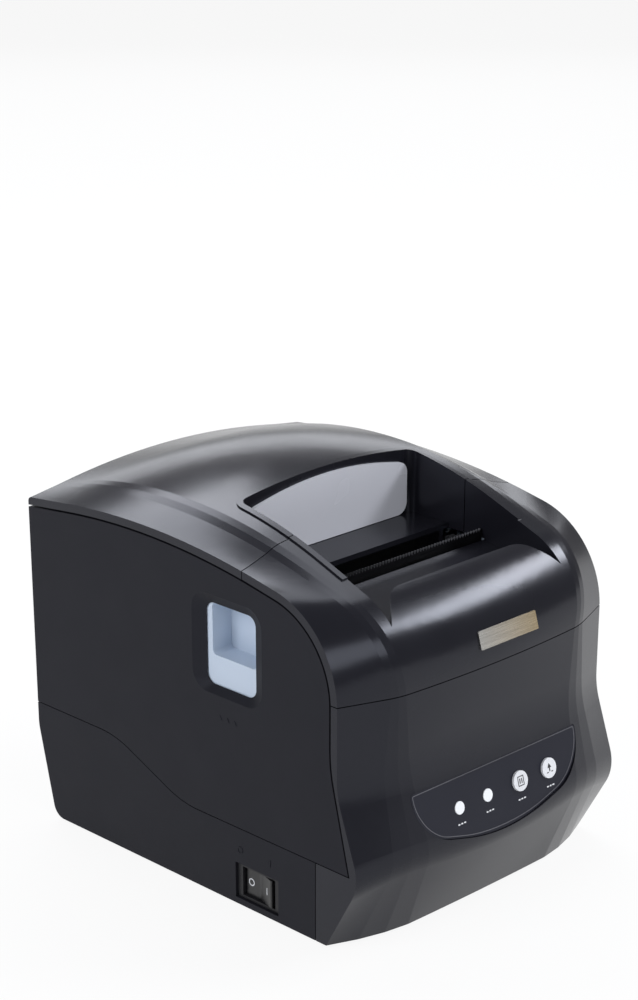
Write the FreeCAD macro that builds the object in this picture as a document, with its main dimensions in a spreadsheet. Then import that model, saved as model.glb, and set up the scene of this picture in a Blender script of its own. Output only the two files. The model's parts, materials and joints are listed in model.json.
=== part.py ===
import FreeCAD, Part
import Sketcher
import math
import os

# Desktop thermal label printer for 80 mm media, millimetres.
# +Z is up, the front faces -Y, X = 0 is the plane of symmetry of the case.

doc = FreeCAD.newDocument("label_printer")
dims = doc.addObject("Spreadsheet::Sheet", "dims")

SIZES = [
    # case as a whole
    ("case_width", 148.0), ("rear_y", 97.0), ("front_y", -94.0), ("base_z", 1.0), ("wall", 2.6),
    ("floor", 2.5), ("seam_gap", 0.4), ("skirt", 3.2), ("skirt_waist_z", 74.0), ("skirt_chin_y", -81.9),
    ("groove", 0.8), ("fit_gap", 0.05), ("part_gap", 0.3),
    # side profile: rear corner, base, chin, waist, shoulder, crown
    ("rear_low_z", 40.0), ("rear_foot_y", 88.3), ("rim_base_y", -69.9), ("rim_chin_y", -86.8),
    ("rim_chin_z", 31.6), ("rim_waist_y", -75.3), ("rim_waist_z", 64.5), ("rim_shoulder_z", 129.2),
    ("crown_y", 18.4), ("rim_crown_z", 147.0), ("rim_rear_z", 138.1),
    # crease where the cheeks meet the crowned middle
    ("crease_x", 50.8), ("crease_z", 99.0), ("crease_lean", 9.8), ("crease_soft", 3.2),
    ("crease_fade", 4.5), ("form_cap_z", 105.0), ("mid_base_y", -79.6), ("mid_chin_y", -92.4),
    ("mid_chin_z", 36.5), ("mid_waist_y", -84.1), ("mid_waist_z", 68.4), ("mid_shoulder_z", 124.8),
    ("mid_crown_y", 14.5), ("mid_crown_z", 158.8), ("mid_rear_z", 140.2),
    # bow of the middle at the plane of symmetry
    ("bow_waist", 0.9), ("bow_shoulder", 3.4), ("bow_shoulder_z", 122.7), ("bow_crown_y", 20.0),
    ("bow_crown_z", 165.7), ("bow_rear", 4.9), ("bow_chin_z", 34.5), ("bow_round", 1.6),
    # seams
    ("lid_seam_y", -26.3), ("front_seam_z", 98.9), ("side_seam_low", 33.5), ("side_seam_high", 50.0),
    ("side_seam_front_y", 9.1), ("side_seam_rear_y", 48.4), ("corner_seam_y", -64.3),
    # paper outlet well in lid and bezel
    ("media_half", 40.0), ("well_side", 7.3), ("well_half", "=media_half + well_side"),
    ("well_wall", 2.2), ("well_rear_y", 3.0), ("well_floor_z", 126.0), ("ledge_y", -18.0),
    ("ramp_rear_y", -37.2), ("ramp_high_z", 123.4), ("ramp_front_y", -60.0), ("ramp_low_z", 119.6),
    ("ramp_thick", 2.2), ("lip_y", -64.4), ("lip_side", 11.5), ("lip_half", "=well_half - lip_side"),
    ("lip_round", 12.0), ("pinch_y", -76.6), ("window_side", 3.7),
    ("window_half", "=well_half - window_side"), ("window_side_z", 147.4), ("window_top_z", 156.3),
    ("window_round", "=3.8 * window_half"), ("window_thick", 1.5), ("rim_proud", 0.7), ("rim_side", 0.3),
    ("rim_front_y", -54.0),
    # lid hinge
    ("hinge_inset", 4.0), ("hinge_z", 124.5), ("hinge_x", 62.0), ("hinge_arm", 4.0), ("hinge_boss", 4.0),
    ("hinge_pin", 2.0), ("lug_wide", 4.4),
    # control panel on the chin
    ("panel_y", -86.4), ("panel_z", 59.3), ("panel_tilt", 15.0), ("overlay_half", 46.9),
    ("overlay_side", 18.0), ("overlay_round", "=1.92 * overlay_half"), ("overlay_drop", 30.0),
    ("overlay_thick", 0.8), ("control_row", -12.3), ("lens_radius", 2.5), ("button_radius", 4.0),
    ("online_x", -23.1), ("error_x", -7.2), ("pause_x", 11.1), ("feed_x", 28.0), ("button_proud", 0.9),
    ("lens_proud", 0.3), ("flange", 0.8), ("panel_back", -3.0), ("board_thick", 1.6),
    ("button_travel", 0.8), ("panel_board_back", -7.2), ("panel_post_x", 39.0), ("panel_post", 2.5),
    ("panel_board_half", 43.0), ("panel_board_high", 16.0),
    # badge plate
    ("badge_x", 6.6), ("badge_y", -85.5), ("badge_z", 109.5), ("badge_tilt", 17.0), ("badge_long", 32.4),
    ("badge_high", 7.2), ("badge_thick", 0.8),
    # latch
    ("latch_y", -17.5), ("latch_z", 104.3), ("latch_long", 26.4), ("latch_high", 32.6),
    ("latch_bevel", 5.8), ("latch_bevel_high", 3.6), ("latch_pivot_z", 62.0), ("latch_shaft", 2.5),
    ("finger_deep", 9.7), ("finger_shelf_z", 99.7), ("finger_inner_x", 59.5), ("finger_wall", 2.6),
    # chassis and drive, outwards from the width of the media
    ("sheet", 1.5), ("chassis_side", 0.2), ("chassis_in", "=well_half + chassis_side"),
    ("chassis_z", 6.0), ("chassis_top_z", 117.6), ("chassis_front_y", -60.0), ("chassis_rear_y", -8.0),
    ("chassis_neck_y", -16.0), ("chassis_neck_z", 92.0), ("chassis_step_z", 80.0),
    ("chassis_knee_z", 58.0), ("chassis_eye_y", -40.0), ("chassis_eye_z", 34.0), ("chassis_eye", 12.0),
    ("platen_y", -24.0), ("platen_z", 112.0), ("platen_radius", 7.0), ("platen_over", 1.2),
    ("platen_half", "=media_half + platen_over"), ("platen_shaft", 2.5), ("bracket_side", 0.8),
    ("bracket_in", "=platen_half + bracket_side"), ("bracket_thick", 2.0), ("bush_radius", 4.0),
    ("gear_module", 0.8), ("platen_teeth", 24), ("idler_teeth", 24), ("pinion_teeth", 12),
    ("gear_side", 0.6), ("gear_in", "=bracket_in + bracket_thick + gear_side"), ("gear_wide", 2.3),
    ("backlash", 0.12), ("idler_stud", 2.0), ("pinion_angle", 52.5), ("motor_radius", 12.5),
    ("motor_back", 4.3), ("motor_out", "=chassis_in - motor_back"), ("motor_long", 21.2),
    ("motor_in", "=motor_out - motor_long"), ("motor_shaft", 1.5),
    # catch and hook outside the chassis
    ("catch_side", 3.0), ("catch_x", "=chassis_in + sheet + catch_side"), ("catch_thick", 2.4),
    ("hook_side", 1.1), ("hook_x", "=catch_x + catch_thick + hook_side"), ("hook_thick", 2.0),
    ("catch_y", -6.0), ("catch_z", 112.0), ("catch_pin", 1.5), ("hook_neck_z", 90.0),
    # printhead and tear bar
    ("head_over", 1.5), ("head_half", "=media_half + head_over"), ("head_gap", 0.3), ("head_thick", 1.7),
    ("head_low_z", 98.0), ("head_top_z", 113.2), ("sink_over", 3.5),
    ("sink_half", "=media_half + sink_over"), ("sink_thick", 3.5), ("sink_low_z", 84.0),
    ("sink_top_z", 116.0), ("head_pivot_z", 88.0), ("head_pin", 2.0), ("tear_y", -35.2),
    ("tear_foot_y", -44.5), ("tear_thick", 1.0), ("tear_top_z", 128.0), ("tear_over", 6.8),
    ("tear_half", "=media_half + tear_over"), ("tooth_pitch", 1.6), ("tooth_high", 1.1),
    # roll tray and guides
    ("tray_half", 69.0), ("tray_z", 12.0), ("tray_thick", 2.0), ("tray_front_y", -5.5),
    ("tray_rear_y", 84.5), ("tray_flat_front", 14.0), ("tray_flat_rear", 62.0), ("tray_front_z", 32.0),
    ("tray_rear_z", 36.0), ("roll_y", 38.0), ("guide_side", 1.5),
    ("guide_in", "=media_half + guide_side"), ("guide_thick", 3.0), ("guide_radius", 30.0),
    ("guide_top_z", 84.0), ("guide_base", 16.5), ("guide_waist_z", 32.0), ("guide_round", 28.0),
    ("guide_eye", 9.0), ("guide_travel", 28.0), ("rack_module", 1.0), ("rack_teeth", 20), ("rack_z", 8.4),
    ("rack_high", 3.0), ("rack_wide", 4.0), ("guide_foot", 3.0), ("guide_pin", 2.5),
    # electronics, switch, feet, screws
    ("board_z", 5.4), ("jack_x", -50.0), ("port_x", -24.0), ("socket_y", 88.0), ("socket_wall", 2.4),
    ("switch_y", -32.6), ("switch_z", 11.1), ("switch_long", 23.6), ("switch_high", 15.0),
    ("switch_inset", 1.2), ("rocker_long", 17.0), ("rocker_high", 11.6), ("rocker_tilt", 8.0),
    ("rocker_deep", 4.4), ("rocker_pivot", 1.0), ("foot_radius", 6.0), ("foot_x", 58.0),
    ("foot_front_y", -58.0), ("foot_rear_y", 72.0), ("foot_sunk", 1.2), ("boss_radius", 4.0),
    ("chassis_boss_x", 36.0), ("chassis_boss_front_y", -54.0), ("chassis_boss_rear_y", -14.0),
    ("tray_boss_x", 64.0), ("tray_boss_inset", 8.0), ("board_left_x", -58.0), ("board_right_x", 28.0),
    ("board_front_y", 20.0), ("board_boss_rear_y", 66.0), ("screw_radius", 1.5), ("screw_well", 2.8),
    ("screw_well_deep", 3.5), ("slot_side", 2.0), ("slot_half", "=media_half + slot_side"),
    ("slot_z", 64.5), ("slot_high", 9.0),
]

for row, (alias, value) in enumerate(SIZES, 1):
    dims.set("A%d" % row, alias.replace("_", " "))
    dims.set("B%d" % row, str(value))
    dims.setAlias("B%d" % row, alias)
doc.recompute()


class Size:
    """A sheet value, or a sum or product of them, with the text that binds it."""

    def __init__(self, value, text):
        self.value, self.text = value, text

    def __add__(self, other):
        other = size(other)
        return Size(self.value + other.value, "(%s + %s)" % (self.text, other.text))

    def __sub__(self, other):
        other = size(other)
        return Size(self.value - other.value, "(%s - %s)" % (self.text, other.text))

    def __mul__(self, other):
        other = size(other)
        return Size(self.value * other.value, "(%s * %s)" % (self.text, other.text))

    def __truediv__(self, other):
        other = size(other)
        return Size(self.value / other.value, "(%s / %s)" % (self.text, other.text))

    def __radd__(self, other):
        return size(other) + self

    def __rsub__(self, other):
        return size(other) - self

    def __rmul__(self, other):
        return size(other) * self

    def __rtruediv__(self, other):
        return size(other) / self

    def __neg__(self):
        return Size(-self.value, "(0 - %s)" % self.text)


def size(number):
    return number if isinstance(number, Size) else Size(float(number), "%.6f" % number)


def tan(angle):
    return Size(math.tan(math.radians(angle.value)), "tan(%s)" % angle.text)


def cos(angle):
    return Size(math.cos(math.radians(angle.value)), "cos(%s)" % angle.text)


class Dims:
    """The sheet's values by name."""


d = Dims()
for alias, value in SIZES:
    setattr(d, alias, Size(dims.get(alias), "dims." + alias))


def bind(item, prop, number):
    item.setExpression(prop, size(number).text)


ALONG_X = FreeCAD.Rotation(FreeCAD.Vector(1, 1, 1), 120)
ALONG_Y = FreeCAD.Rotation(FreeCAD.Vector(1, 0, 0), 90)
ALONG_Z = FreeCAD.Rotation()


def outline(sketch, corners, circles=()):
    """Closed outline of straight sides with rounded corners (u, v, radius), and circles (u, v, radius)."""
    corners = [tuple(size(n) for n in (list(c) + [0])[:3]) for c in corners]
    count = len(corners)
    points = [FreeCAD.Vector(c[0].value, c[1].value, 0) for c in corners]
    enter, leave, arcs = [], [], []
    for i in range(count):
        here, before, after = points[i], points[i - 1], points[(i + 1) % count]
        radius = corners[i][2].value
        if radius <= 0:
            enter.append(here)
            leave.append(here)
            arcs.append(None)
            continue
        back, ahead = (before - here).normalize(), (after - here).normalize()
        half = back.getAngle(ahead) / 2
        reach = radius / math.tan(half)
        enter.append(here + back * reach)
        leave.append(here + ahead * reach)
        middle = here + (back + ahead).normalize() * (radius / math.sin(half))
        turn = back.x * ahead.y - back.y * ahead.x
        arcs.append((middle, radius, turn < 0))
    geometry, rules, values, lines, rounds = [], [], [], [], []
    for i in range(count):
        lines.append(len(geometry))
        geometry.append(Part.LineSegment(leave[i], enter[(i + 1) % count]))
    for i in range(count):
        rounds.append(None)
        if arcs[i]:
            middle, radius, left = arcs[i]
            first, last = (enter[i], leave[i]) if left else (leave[i], enter[i])
            a, b = first - middle, last - middle
            circle = Part.Circle(middle, FreeCAD.Vector(0, 0, 1), radius)
            rounds[i] = len(geometry)
            geometry.append(Part.ArcOfCircle(circle, math.atan2(a.y, a.x), math.atan2(b.y, b.x)))
    marks = {}
    if geometry:
        sketch.addGeometry(geometry, False)
    for i in range(count):
        if arcs[i]:
            marks[i] = sketch.addGeometry(Part.Point(points[i]), True)
    for i in range(count):
        coming, going = lines[i - 1], lines[i]
        if arcs[i]:
            left = arcs[i][2]
            rules.append(Sketcher.Constraint("Tangent", coming, 2, rounds[i], 1 if left else 2))
            rules.append(Sketcher.Constraint("Tangent", rounds[i], 2 if left else 1, going, 1))
            rules.append(Sketcher.Constraint("PointOnObject", marks[i], 1, coming))
            rules.append(Sketcher.Constraint("PointOnObject", marks[i], 1, going))
            values.append((len(rules), corners[i][2]))
            rules.append(Sketcher.Constraint("Radius", rounds[i], corners[i][2].value))
            target = (marks[i], 1)
        else:
            rules.append(Sketcher.Constraint("Coincident", coming, 2, going, 1))
            target = (going, 1)
        for kind, number in (("DistanceX", corners[i][0]), ("DistanceY", corners[i][1])):
            values.append((len(rules), number))
            rules.append(Sketcher.Constraint(kind, -1, 1, target[0], target[1], number.value))
    for u, v, radius in circles:
        u, v, radius = size(u), size(v), size(radius)
        ring = sketch.addGeometry(Part.Circle(FreeCAD.Vector(u.value, v.value, 0),
                                              FreeCAD.Vector(0, 0, 1), radius.value), False)
        for kind, number in (("DistanceX", u), ("DistanceY", v)):
            values.append((len(rules), number))
            rules.append(Sketcher.Constraint(kind, -1, 1, ring, 3, number.value))
        values.append((len(rules), radius))
        rules.append(Sketcher.Constraint("Radius", ring, radius.value))
    sketch.addConstraint(rules)
    for index, number in values:
        if "dims" in number.text:
            sketch.setExpression("Constraints[%d]" % index, number.text)


def place(item, x=0, y=0, z=0, turn=None):
    spot = [size(n) for n in (x, y, z)]
    item.Placement = FreeCAD.Placement(FreeCAD.Vector(*[n.value for n in spot]), turn or ALONG_Z)
    for axis, number in zip("xyz", spot):
        if "dims" in number.text:
            item.setExpression(".Placement.Base." + axis, number.text)


def prism(name, plane, corners, span, circles=()):
    """Outline in the YZ, XZ or XY plane, carried along X, Y or Z from span[0] to span[1]."""
    sketch = doc.addObject("Sketcher::SketchObject", name + "_outline")
    outline(sketch, corners, circles)
    if plane == "YZ":
        place(sketch, x=span[0], turn=ALONG_X)
    elif plane == "XZ":
        place(sketch, y=span[1], turn=ALONG_Y)
    else:
        place(sketch, z=span[0])
    solid = doc.addObject("Part::Extrusion", name)
    solid.Base = sketch
    solid.DirMode = "Normal"
    solid.Solid = True
    bind(solid, "LengthFwd", size(span[1]) - span[0])
    return solid


def box(name, x, y, z):
    item = doc.addObject("Part::Box", name)
    place(item, x[0], y[0], z[0])
    for prop, span in (("Length", x), ("Width", y), ("Height", z)):
        bind(item, prop, size(span[1]) - span[0])
    return item


def rod(name, axis, centre, radius, span):
    """Cylinder along X, Y or Z; centre holds the other two coordinates in order."""
    item = doc.addObject("Part::Cylinder", name)
    if axis == "X":
        place(item, span[0], centre[0], centre[1], FreeCAD.Rotation(FreeCAD.Vector(0, 1, 0), 90))
    elif axis == "Y":
        place(item, centre[0], span[0], centre[1], FreeCAD.Rotation(FreeCAD.Vector(1, 0, 0), -90))
    else:
        place(item, centre[0], centre[1], span[0])
    bind(item, "Radius", radius)
    bind(item, "Height", size(span[1]) - span[0])
    return item


def fuse(name, *items):
    item = doc.addObject("Part::MultiFuse", name)
    item.Shapes = list(items)
    return item


def common(name, *items):
    item = doc.addObject("Part::MultiCommon", name)
    item.Shapes = list(items)
    return item


def cut(name, base, *tools):
    for step, tool in enumerate(tools, 1):
        item = doc.addObject("Part::Cut", name if step == len(tools) else "%s_step_%d" % (name, step))
        item.Base = base
        item.Tool = tool
        base = item
    return base


parts = []


def part(item, label):
    """Name a finished piece and set it down so that the origin is under the middle of the case."""
    item.Label = label
    base = item.Placement.Base
    shift = -(d.rear_y + d.front_y) / 2
    item.Placement = FreeCAD.Placement(base + FreeCAD.Vector(0, shift.value, 0), item.Placement.Rotation)
    start = "(%s) + " % item_base(item) if item_base(item) else "%.6f + " % base.y
    item.setExpression(".Placement.Base.y", start + shift.text)
    parts.append(item)
    return item


def item_base(item):
    """Text already bound to the piece's own y, if any."""
    for prop, text in item.ExpressionEngine:
        if prop.lstrip(".") == "Placement.Base.y":
            return text
    return ""


def plane_of(body, plane):
    return [f for f in body.Origin.OriginFeatures if f.Role == plane + "_Plane"][0]


def new_body(name, x=0, y=0, z=0, turn=None):
    body = doc.addObject("PartDesign::Body", name)
    place(body, x, y, z, turn)
    return body


def body_sketch(body, name, plane, corners, start, circles=()):
    sketch = body.newObject("Sketcher::SketchObject", name + "_sketch")
    sketch.AttachmentSupport = (plane_of(body, plane), [""])
    sketch.MapMode = "FlatFace"
    start = size(start)
    sketch.AttachmentOffset = FreeCAD.Placement(FreeCAD.Vector(0, 0, start.value), ALONG_Z)
    if "dims" in start.text:
        sketch.setExpression("AttachmentOffset.Base.z", start.text)
    outline(sketch, corners, circles)
    return sketch


def begin(plane, span):
    """Offset of the sketch along its plane's normal; the XZ plane's normal is -Y."""
    return -size(span[1]) if plane == "XZ" else span[0]


def pad(body, name, plane, corners, span, circles=()):
    sketch = body_sketch(body, name, plane, corners, begin(plane, span), circles)
    item = body.newObject("PartDesign::Pad", name)
    item.Profile = sketch
    bind(item, "Length", size(span[1]) - span[0])
    return item


def pocket(body, name, plane, corners, span, circles=()):
    sketch = body_sketch(body, name, plane, corners, begin(plane, span), circles)
    item = body.newObject("PartDesign::Pocket", name)
    item.Profile = sketch
    item.Reversed = True
    bind(item, "Length", size(span[1]) - span[0])
    return item


def rect(u, v, radius=0):
    return [(u[0], v[0], radius), (u[1], v[0], radius), (u[1], v[1], radius), (u[0], v[1], radius)]


def both(u):
    return (-size(u), size(u))


def on_side(side, a, b):
    """Span from a to b to the right of the plane of symmetry, or its mirror image to the left."""
    return (a, b) if side > 0 else (-size(b), -size(a))


def about(middle, width):
    return (middle - width / 2, middle + width / 2)


half = d.case_width / 2
inner = half - d.wall
floor_z = d.base_z + d.floor
rear_in = d.rear_y - d.wall

# The case is three side profiles: the rim at each side plane, the crease where the slanted
# cheeks meet the middle, and the bowed profile at the plane of symmetry.
FOOT = [(d.rear_y, d.rear_low_z, 20), (d.rear_foot_y, d.base_z, 6)]
RIM_LOW = FOOT + [(d.rim_base_y, d.base_z), (d.rim_chin_y, d.rim_chin_z, 18),
    (d.rim_waist_y, d.rim_waist_z, 34)]
RIM_TOP = [(d.rim_waist_y, d.rim_shoulder_z, 38), (d.crown_y, d.rim_crown_z, 365),
    (d.rear_y, d.rim_rear_z, 2)]
MID_LOW = FOOT + [(d.mid_base_y, d.base_z), (d.mid_chin_y, d.mid_chin_z, 18),
    (d.mid_waist_y, d.mid_waist_z, 55)]
MID_TOP = [(d.mid_waist_y, d.mid_shoulder_z, 33), (d.mid_crown_y, d.mid_crown_z, 220),
    (d.rear_y, d.mid_rear_z, 2)]
BOW_LOW = FOOT + [(d.mid_base_y - 0.8, d.base_z), (d.front_y - d.bow_round, d.bow_chin_z, 18),
                  (d.mid_waist_y - d.bow_waist, d.mid_waist_z - 1, 55)]
BOW_TOP = [(d.mid_waist_y - d.bow_shoulder, d.bow_shoulder_z, 33),
           (d.bow_crown_y, d.bow_crown_z, 160), (d.rear_y, d.mid_rear_z + d.bow_rear, 2)]


def capped(low, top):
    """Lower half of a profile, closed level a little above the crease height."""
    waist, shoulder = low[-1], top[0]
    share = (d.form_cap_z - waist[1]) / (shoulder[1] - waist[1])
    return low + [(waist[0] + (shoulder[0] - waist[0]) * share, d.form_cap_z), (d.rear_y, d.form_cap_z)]


def between(a, b, share):
    """Corners of profile a moved by a share of the way to those of profile b."""
    moved = []
    for p, q, t in zip(a, b, share):
        p, q = [size(n) for n in (list(p) + [0])[:3]], [size(n) for n in (list(q) + [0])[:3]]
        moved.append(tuple(m if m.text == n.text else m + (n - m) * t for m, n in zip(p, q)))
    return moved


def section(name, corners, x, lean, side):
    """Profile sketch at x on one side, its plane tipped outward by lean about the crease height."""
    sketch = doc.addObject("Sketcher::SketchObject", name)
    outline(sketch, [(c[0], (c[1] - d.crease_z) / cos(lean)) + tuple(c[2:]) for c in corners])
    tip = FreeCAD.Rotation(FreeCAD.Vector(0, 1, 0), side * lean.value)
    place(sketch, x=side * size(x), z=d.crease_z, turn=tip * ALONG_X)
    return sketch


def loft(name, sections, ruled):
    item = doc.addObject("Part::Loft", name)
    item.Sections = sections
    item.Solid = True
    item.Ruled = ruled
    return item


def form(level, rim, crease, bow, lean, fade):
    """Solid of the case: cheeks, a crease bent in two steps that widen by fade, and a bowed middle."""
    rise = [c[1] - d.crease_z for c in crease]
    fold = [d.crease_x + tan(lean) * r for r in rise]
    reach = [d.crease_soft - tan(fade) * r for r in rise]
    outer = between(crease, rim, [w / (half - f) for w, f in zip(reach, fold)])
    inner_share = [(f - w) * (f - w) / (f * f) for w, f in zip(reach, fold)]
    within = between(bow, crease, inner_share)
    chord = between(outer, within, [size(0.5)] * len(rise))
    bend = between(chord, crease, [size(1) / 3] * len(rise))
    rows = {}
    for side, name in ((-1, "left"), (1, "right")):
        rows[name] = [section("%s_rim_%s" % (level, name), rim, half, size(0), side),
                      section("%s_cheek_%s" % (level, name), outer, d.crease_x + d.crease_soft, lean - fade,
                      side),
                      section("%s_crease_%s" % (level, name), bend, d.crease_x, lean, side),
                      section("%s_inner_%s" % (level, name), within, d.crease_x - d.crease_soft,
                      lean + fade, side)]
    middle = [rows["left"][3], section(level + "_bow", bow, 0, size(0), 1), rows["right"][3]]
    return fuse(level + "_form", loft(level + "_left", rows["left"], True),
        loft(level + "_middle", middle, False),
                loft(level + "_right", rows["right"][::-1], True))


upper = form("upper", RIM_LOW + RIM_TOP, MID_LOW + MID_TOP, BOW_LOW + BOW_TOP, d.crease_lean, size(0))
lower = form("lower", capped(RIM_LOW, RIM_TOP), capped(MID_LOW, MID_TOP), capped(BOW_LOW, BOW_TOP),
             size(0), d.crease_fade)

# Hollow of the case: the rim profile drawn in by the wall, and a deeper middle between the creases.
w = d.wall
hollow = fuse("hollow",
              prism("hollow_wide", "YZ", [
                  (rear_in, d.rear_low_z, 18), (d.rear_foot_y - w, floor_z, 4),
                  (d.rim_base_y + w + 0.9, floor_z),
                  (d.rim_chin_y + 1.15 * w, d.rim_chin_z, 16),
                  (d.rim_waist_y + w, d.rim_waist_z - 0.17 * w, 36),
                  (d.rim_waist_y + w, d.rim_shoulder_z - 0.83 * w, 36),
                  (d.crown_y, d.rim_crown_z - 1.012 * w, 362),
                  (rear_in, d.rim_rear_z - 0.89 * w)], both(inner)),
              prism("hollow_middle", "YZ", [
                  (rear_in, d.rear_low_z, 18), (d.rear_foot_y - w, floor_z, 4),
                  (d.mid_base_y + w + 1.0, floor_z),
                  (d.mid_chin_y + w + 0.6, d.mid_chin_z, 12),
                  (d.mid_waist_y + w + 0.2, d.mid_waist_z + 0.4, 50),
                  (d.mid_waist_y + w + 0.2, d.mid_shoulder_z - 0.75 * w, 30),
                  (d.mid_crown_y, d.mid_crown_z - 1.05 * w, 217), (rear_in, d.mid_rear_z - 0.85 * w)],
                  both(d.crease_x - 5)),
              common("hollow_crown", prism("crown_blank", "YZ", [
                  (rear_in, d.rear_low_z), (d.mid_waist_y, d.rear_low_z),
                  (d.mid_waist_y, (d.mid_shoulder_z + d.bow_shoulder_z) / 2 - w),
                  ((d.mid_crown_y + d.bow_crown_y) / 2, (d.mid_crown_z + d.bow_crown_z) / 2 - 1.05 * w, 187),
                  (rear_in, d.mid_rear_z + d.bow_rear / 2 - 0.85 * w)], both(d.crease_x - 15)),
                  box("behind_well", both(half), (d.well_rear_y + 3 * d.well_wall, d.rear_y), (0, 200))))

# Where the covers end on the side: the rim drawn in by the skirt; the housing stops a groove further in.
FAR, HIGH = 130, 200
front_slope = (d.rim_crown_z - d.rim_shoulder_z) / (d.crown_y - d.rim_waist_y)
rear_slope = (d.rim_crown_z - d.rim_rear_z) / (d.rear_y - d.crown_y)


def skirt_line(inset):
    """Waist, shoulder, crown and rear corners of the rim, drawn in by inset."""
    return [(d.rim_waist_y + inset, d.skirt_waist_z, 60),
            (d.rim_waist_y + inset, d.rim_shoulder_z - 0.83 * inset, 38 - inset),
            (d.crown_y, d.rim_crown_z - 1.012 * inset, 365 - inset),
            (d.rear_y + 10, d.rim_rear_z - 1.007 * inset - 10 * rear_slope)]


def skirt_at(inset, y):
    """Height of the drawn-in front slope of the rim at y."""
    corner = skirt_line(inset)[1]
    return corner[1] + front_slope * (y - corner[0])


gap = d.seam_gap / 2
cover, side_in = skirt_line(d.skirt), skirt_line(d.skirt + d.groove)
chin_in = d.skirt_chin_y
WIDE = both(half + 5)
lid_region = prism("lid_region", "YZ", [
    (d.lid_seam_y + gap, HIGH), (d.lid_seam_y + gap, skirt_at(d.skirt, d.lid_seam_y + gap)), cover[2],
    cover[3],
    (d.rear_y + 10, HIGH)], WIDE)
bezel_region = prism("bezel_region", "YZ", [
    (-FAR, d.front_seam_z + gap), (cover[0][0], d.front_seam_z + gap), cover[1],
    (d.lid_seam_y - gap, skirt_at(d.skirt, d.lid_seam_y - gap)), (d.lid_seam_y - gap, HIGH), (-FAR, HIGH)],
    WIDE)
front_region = prism("front_region", "YZ", [
    (-FAR, -5), (d.corner_seam_y - gap, -5), (d.corner_seam_y - gap, d.side_seam_low - gap),
    (chin_in, d.side_seam_low - gap), cover[0], (cover[0][0], d.front_seam_z - gap),
    (-FAR, d.front_seam_z - gap)], WIDE)
SEAM = [(d.side_seam_front_y, d.side_seam_low, 45), (d.side_seam_rear_y, d.side_seam_high, 45)]
housing_region = prism("housing_region", "YZ", [
    (chin_in + d.groove, d.side_seam_low + gap)] + [(y, z + gap, r) for y, z, r in SEAM] + [
    (d.rear_y + 10, d.side_seam_high + gap), side_in[3], side_in[2], side_in[1], side_in[0]], WIDE)
bottom_region = prism("bottom_region", "YZ", [
    (d.corner_seam_y + gap, -5), (d.rear_y + 10, -5), (d.rear_y + 10, d.side_seam_high - gap)] + [
    (y, z - gap, r) for y, z, r in reversed(SEAM)] + [(d.corner_seam_y + gap, d.side_seam_low - gap)], WIDE)

hinge_y = d.rear_y - d.hinge_inset
well_out = d.well_half + d.well_wall

# Lid: crowned shell with the outlet well, its ledge, hinge arms, platen brackets and catch lugs.
lid_shell = cut("lid_shell", common("lid_skin", upper, lid_region), hollow)
well_block = common("lid_well_block", upper, prism("lid_well_blank", "XY", [
    (-well_out, d.lid_seam_y + gap), (well_out, d.lid_seam_y + gap),
    (well_out, d.well_rear_y + d.well_wall, 5.6),
    (-well_out, d.well_rear_y + d.well_wall, 5.6)], (d.well_floor_z - d.well_wall, HIGH)))
raised = doc.addObject("Part::Compound", "raised_form")
raised.Links = [upper]
place(raised, z=d.rim_proud)
rim_out = well_out + d.rim_side
lid_rim = common("lid_rim", raised, prism("lid_rim_plan", "XY", [
    (-rim_out, d.lid_seam_y + gap), (rim_out, d.lid_seam_y + gap),
    (rim_out, d.well_rear_y + d.well_wall + d.rim_side, 6),
    (-rim_out, d.well_rear_y + d.well_wall + d.rim_side, 6)], (d.well_floor_z, HIGH)))
arm_pieces, pin_holes = [], []
for side, name in ((-1, "left"), (1, "right")):
    arm_pieces.append(prism("hinge_arm_" + name, "YZ", [
        (hinge_y - 13, d.mid_rear_z - 1.4), (d.rear_y - 1.5, d.mid_rear_z - 1.4),
        (d.rear_y, d.hinge_z + 6, 3), (d.rear_y, d.hinge_z - d.hinge_boss, 3.9),
        (hinge_y - d.hinge_boss, d.hinge_z - d.hinge_boss, 3.9), (hinge_y - d.hinge_boss, d.hinge_z + 3, 6)],
        on_side(side, d.hinge_x - d.hinge_arm / 2, d.hinge_x + d.hinge_arm / 2)))
    arm_pieces.append(prism("platen_bracket_" + name, "YZ", [
        (0, d.well_floor_z - 1), (0, d.well_floor_z - 6, 3), (d.platen_y + 5.5, d.platen_z - 5.5, 5),
        (d.platen_y - 5.5, d.platen_z - 5.5, 5), (d.platen_y - 5.5, d.platen_z + 5.5, 5),
        (d.platen_y + 6, d.platen_z + 5.5, 3), (d.ledge_y, d.well_floor_z - 1)],
        on_side(side, d.bracket_in, d.bracket_in + d.bracket_thick)))
    arm_pieces.append(prism("catch_lug_" + name, "YZ", [
        (d.catch_y - 4, d.catch_z - 3, 2), (d.catch_y + 4, d.catch_z - 3, 2),
        (d.catch_y + 7, d.rim_crown_z - 2.5),
        (d.catch_y - 5, d.rim_crown_z - 4.5)], on_side(side, d.catch_x, d.catch_x + d.catch_thick)))
    arm_pieces.append(rod("catch_pin_" + name, "X", (d.catch_y, d.catch_z), d.catch_pin,
                          on_side(side, d.catch_x, d.hook_x + d.hook_thick + 0.5)))
    pin_holes.append(rod("hinge_bore_" + name, "X", (hinge_y, d.hinge_z), d.hinge_pin + d.fit_gap,
                         on_side(side, d.hinge_x - d.hinge_arm, d.hinge_x + d.hinge_arm)))
    pin_holes.append(rod("bush_bore_" + name, "X", (d.platen_y, d.platen_z), d.bush_radius,
                         on_side(side, d.bracket_in - 1, d.bracket_in + d.bracket_thick + 1)))
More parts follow.
